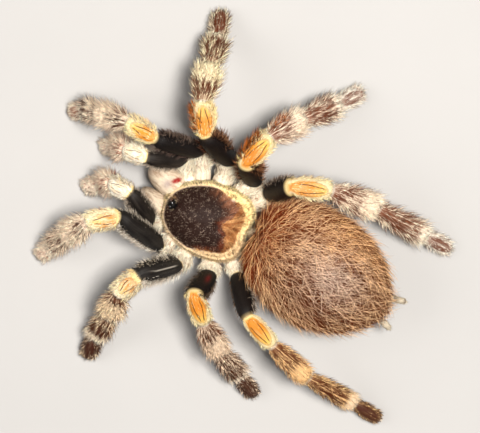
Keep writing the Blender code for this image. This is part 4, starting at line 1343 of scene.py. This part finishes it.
rng = np.random.default_rng(301)
plate_coat = Coat("coat_carapace", "carapace_shell")
for weight, count, lengths, lifts, widths, spread, bands in PLATE_COAT:
    roots = plate.roots(rng, count, weight, WHOLE)
    out = unit((roots.point - (PLATE_SHIFT, PIT, 0)) * (1, 1, 0))
    lie = unit(out - roots.normal * (out * roots.normal).sum(-1, keepdims=True))
    lie = combed(roots, lie, rng, spread, 0.3, 2.0, 302)
    stray = FEATHER * (bands == 1) * rng.normal(size=(count, 1))
    dark, light, share = plate_markings(roots.point * (1 + stray * (1, 1, 0)))
    # light specks on the dark field: partly light hairs, partly painted glints
    specks_and_glints = SPECKS_AND_GLINTS * (0.4 + 2 * smooth(0.0, 0.6, ripple(roots.point, 2.4, 62)))
    base, tip = hair_colours(rng, dark, light, share + specks_and_glints * smooth(0.3, 0.0, share), 0.5, 0.55)
    length, thick, lift = (rng.uniform(*limits, count) for limits in (lengths, widths, lifts))
    plate_coat.grow(roots, lie, (length, thick, np.radians(lift), 0.4, base, tip), bands)
plate_coat.finish()


# %% Jaw, thorax and spinneret hair
def grow_plain(coat, rectangle, surface, count, look, markings, seed, bands=1):
    """Hair that lies along a surface's rows; look is length, lift and width."""
    rng = np.random.default_rng(seed)
    length, lift, thick = look
    roots = surface.roots(rng, count, np.ones(surface.points.shape[:2]), rectangle)
    lie = combed(roots, roots.lie, rng, 0.2, 0.2, 1.5, seed)
    dark, light, share = markings
    dark, light, share = (surface.read(np.broadcast_to(field, surface.points.shape), roots.row, roots.column)
                          for field in (dark, light, np.asarray(share)[..., None]))
    base, tip = hair_colours(rng, dark, light, share[:, 0], 0.3)
    length, thick = length * rng.uniform(0.6, 1.3, count), thick * rng.uniform(0.8, 1.2, count)
    lift = np.radians(lift) * rng.uniform(0.5, 1.5, count)
    coat.grow(roots, lie, (length, thick, lift, 0.4, base, tip), bands)


PLAIN_COATS = (
    [(jaw, 8000, (0.8, 6, 0.09), jaw_markings(jaw, side), 401 + n)
     for n, (side, jaw) in enumerate(jaws.items())]
    + [(finger, 700, (0.8, 35, 0.08), (SPINNERET_DARK, PALE_SKIN, 0.8), 411 + n)
       for n, finger in enumerate(spinnerets.values())]
    + [(thorax_skin, 5500, (2.4, 26, 0.14), trunk_markings(thorax_skin.points), 421, 2),
       (pedicel_skin, 500, (1.2, 30, 0.13), trunk_markings(pedicel_skin.points), 422)])
face_coat = Coat("coat_jaws", "jaw_coat")
for rectangle, plain in zip(sheet_places(6, 3), PLAIN_COATS):
    grow_plain(face_coat, rectangle, *plain)
face_coat.finish()

# %% [markdown]
# ## Floor, light and camera
# A plain pale floor, a soft window of light from the right and behind, a weak fill from
# in front, and a long lens almost straight overhead, which hardly distorts the legs.

# %% Floor
FLOOR_HALF = 1.5            # in metres


def add_object(name, data):
    """A new object in the scene."""
    thing = bpy.data.objects.new(name, data)
    bpy.context.scene.collection.objects.link(thing)
    return thing


def floor_finish():
    finish = Finish("pale_floor", Specular_IOR_Level=0.2)
    finish.set(Base_Color=finish.node("ShaderNodeMix", {"data_type": "RGBA"}, {
        "Factor": finish.noise(30.0), "A": (0.4, 0.395, 0.39, 1), "B": (0.42, 0.415, 0.41, 1)}, output=2),
        Roughness=finish.noise(8.0) * 0.1 + 0.7)
    return finish.material


floor_mesh = bpy.data.meshes.new("floor")
floor_corners = [(x * FLOOR_HALF, y * FLOOR_HALF, 0.0) for x, y in ((-1, -1), (1, -1), (1, 1), (-1, 1))]
floor_mesh.from_pydata(floor_corners, [], [(0, 1, 2, 3)])
floor = add_object("floor", floor_mesh)
floor.data.materials.append(floor_finish())
print("floor, m across:", 2 * FLOOR_HALF)

# %% Lights
def area_light(name, place, size, power, colour):
    """A square area light at a place in metres, facing the animal."""
    data = bpy.data.lights.new(name, "AREA")
    data.size, data.energy, data.color = size, power, colour
    light = add_object(name, data)
    light.location = place
    light.rotation_euler = (-Vector(place)).to_track_quat("-Z", "Y").to_euler()
    print(f"{name}: {power} W, {size} m across")


area_light("window", (-0.13, 0.07, 0.59), 0.15, 6.7, (1.0, 0.955, 0.9))
area_light("fill", (0.12, -0.45, 0.4), 0.4, 1.7, (1.0, 0.965, 0.93))
world = bpy.data.worlds.new("studio")
world.use_nodes = True
world.node_tree.nodes["Background"].inputs["Color"].default_value = (1, 1, 1, 1)
world.node_tree.nodes["Background"].inputs["Strength"].default_value = 0.16
bpy.context.scene.world = world
bpy.context.scene.view_settings.view_transform = "Standard"

# %% Camera
CAMERA_TARGET = np.array([-3.868, 6.510, 12.0])
CAMERA_DISTANCE, CAMERA_LENS, CAMERA_LEAN = 550.0, 175.5, np.radians(9)
UPRIGHT = np.array([0, 0, 1.0])
view_right, view_far = np.array([-0.4226, 0.9063, 0.0]), np.array([-0.9063, -0.4226, 0.0])
toward = np.sin(CAMERA_LEAN) * view_far + np.cos(CAMERA_LEAN) * UPRIGHT
view_up = np.cos(CAMERA_LEAN) * view_far - np.sin(CAMERA_LEAN) * UPRIGHT
eye_point = (CAMERA_TARGET + MIDDLE + CAMERA_DISTANCE * toward) * MM
camera = add_object("camera", bpy.data.cameras.new("camera"))
camera.data.lens, camera.data.sensor_width = CAMERA_LENS, 36.0
rows = np.stack([view_right, view_up, toward, eye_point], 1).tolist()
camera.matrix_world = Matrix(rows + [[0, 0, 0, 1]])
bpy.context.scene.camera = camera
print("camera at, m:", eye_point.round(4))
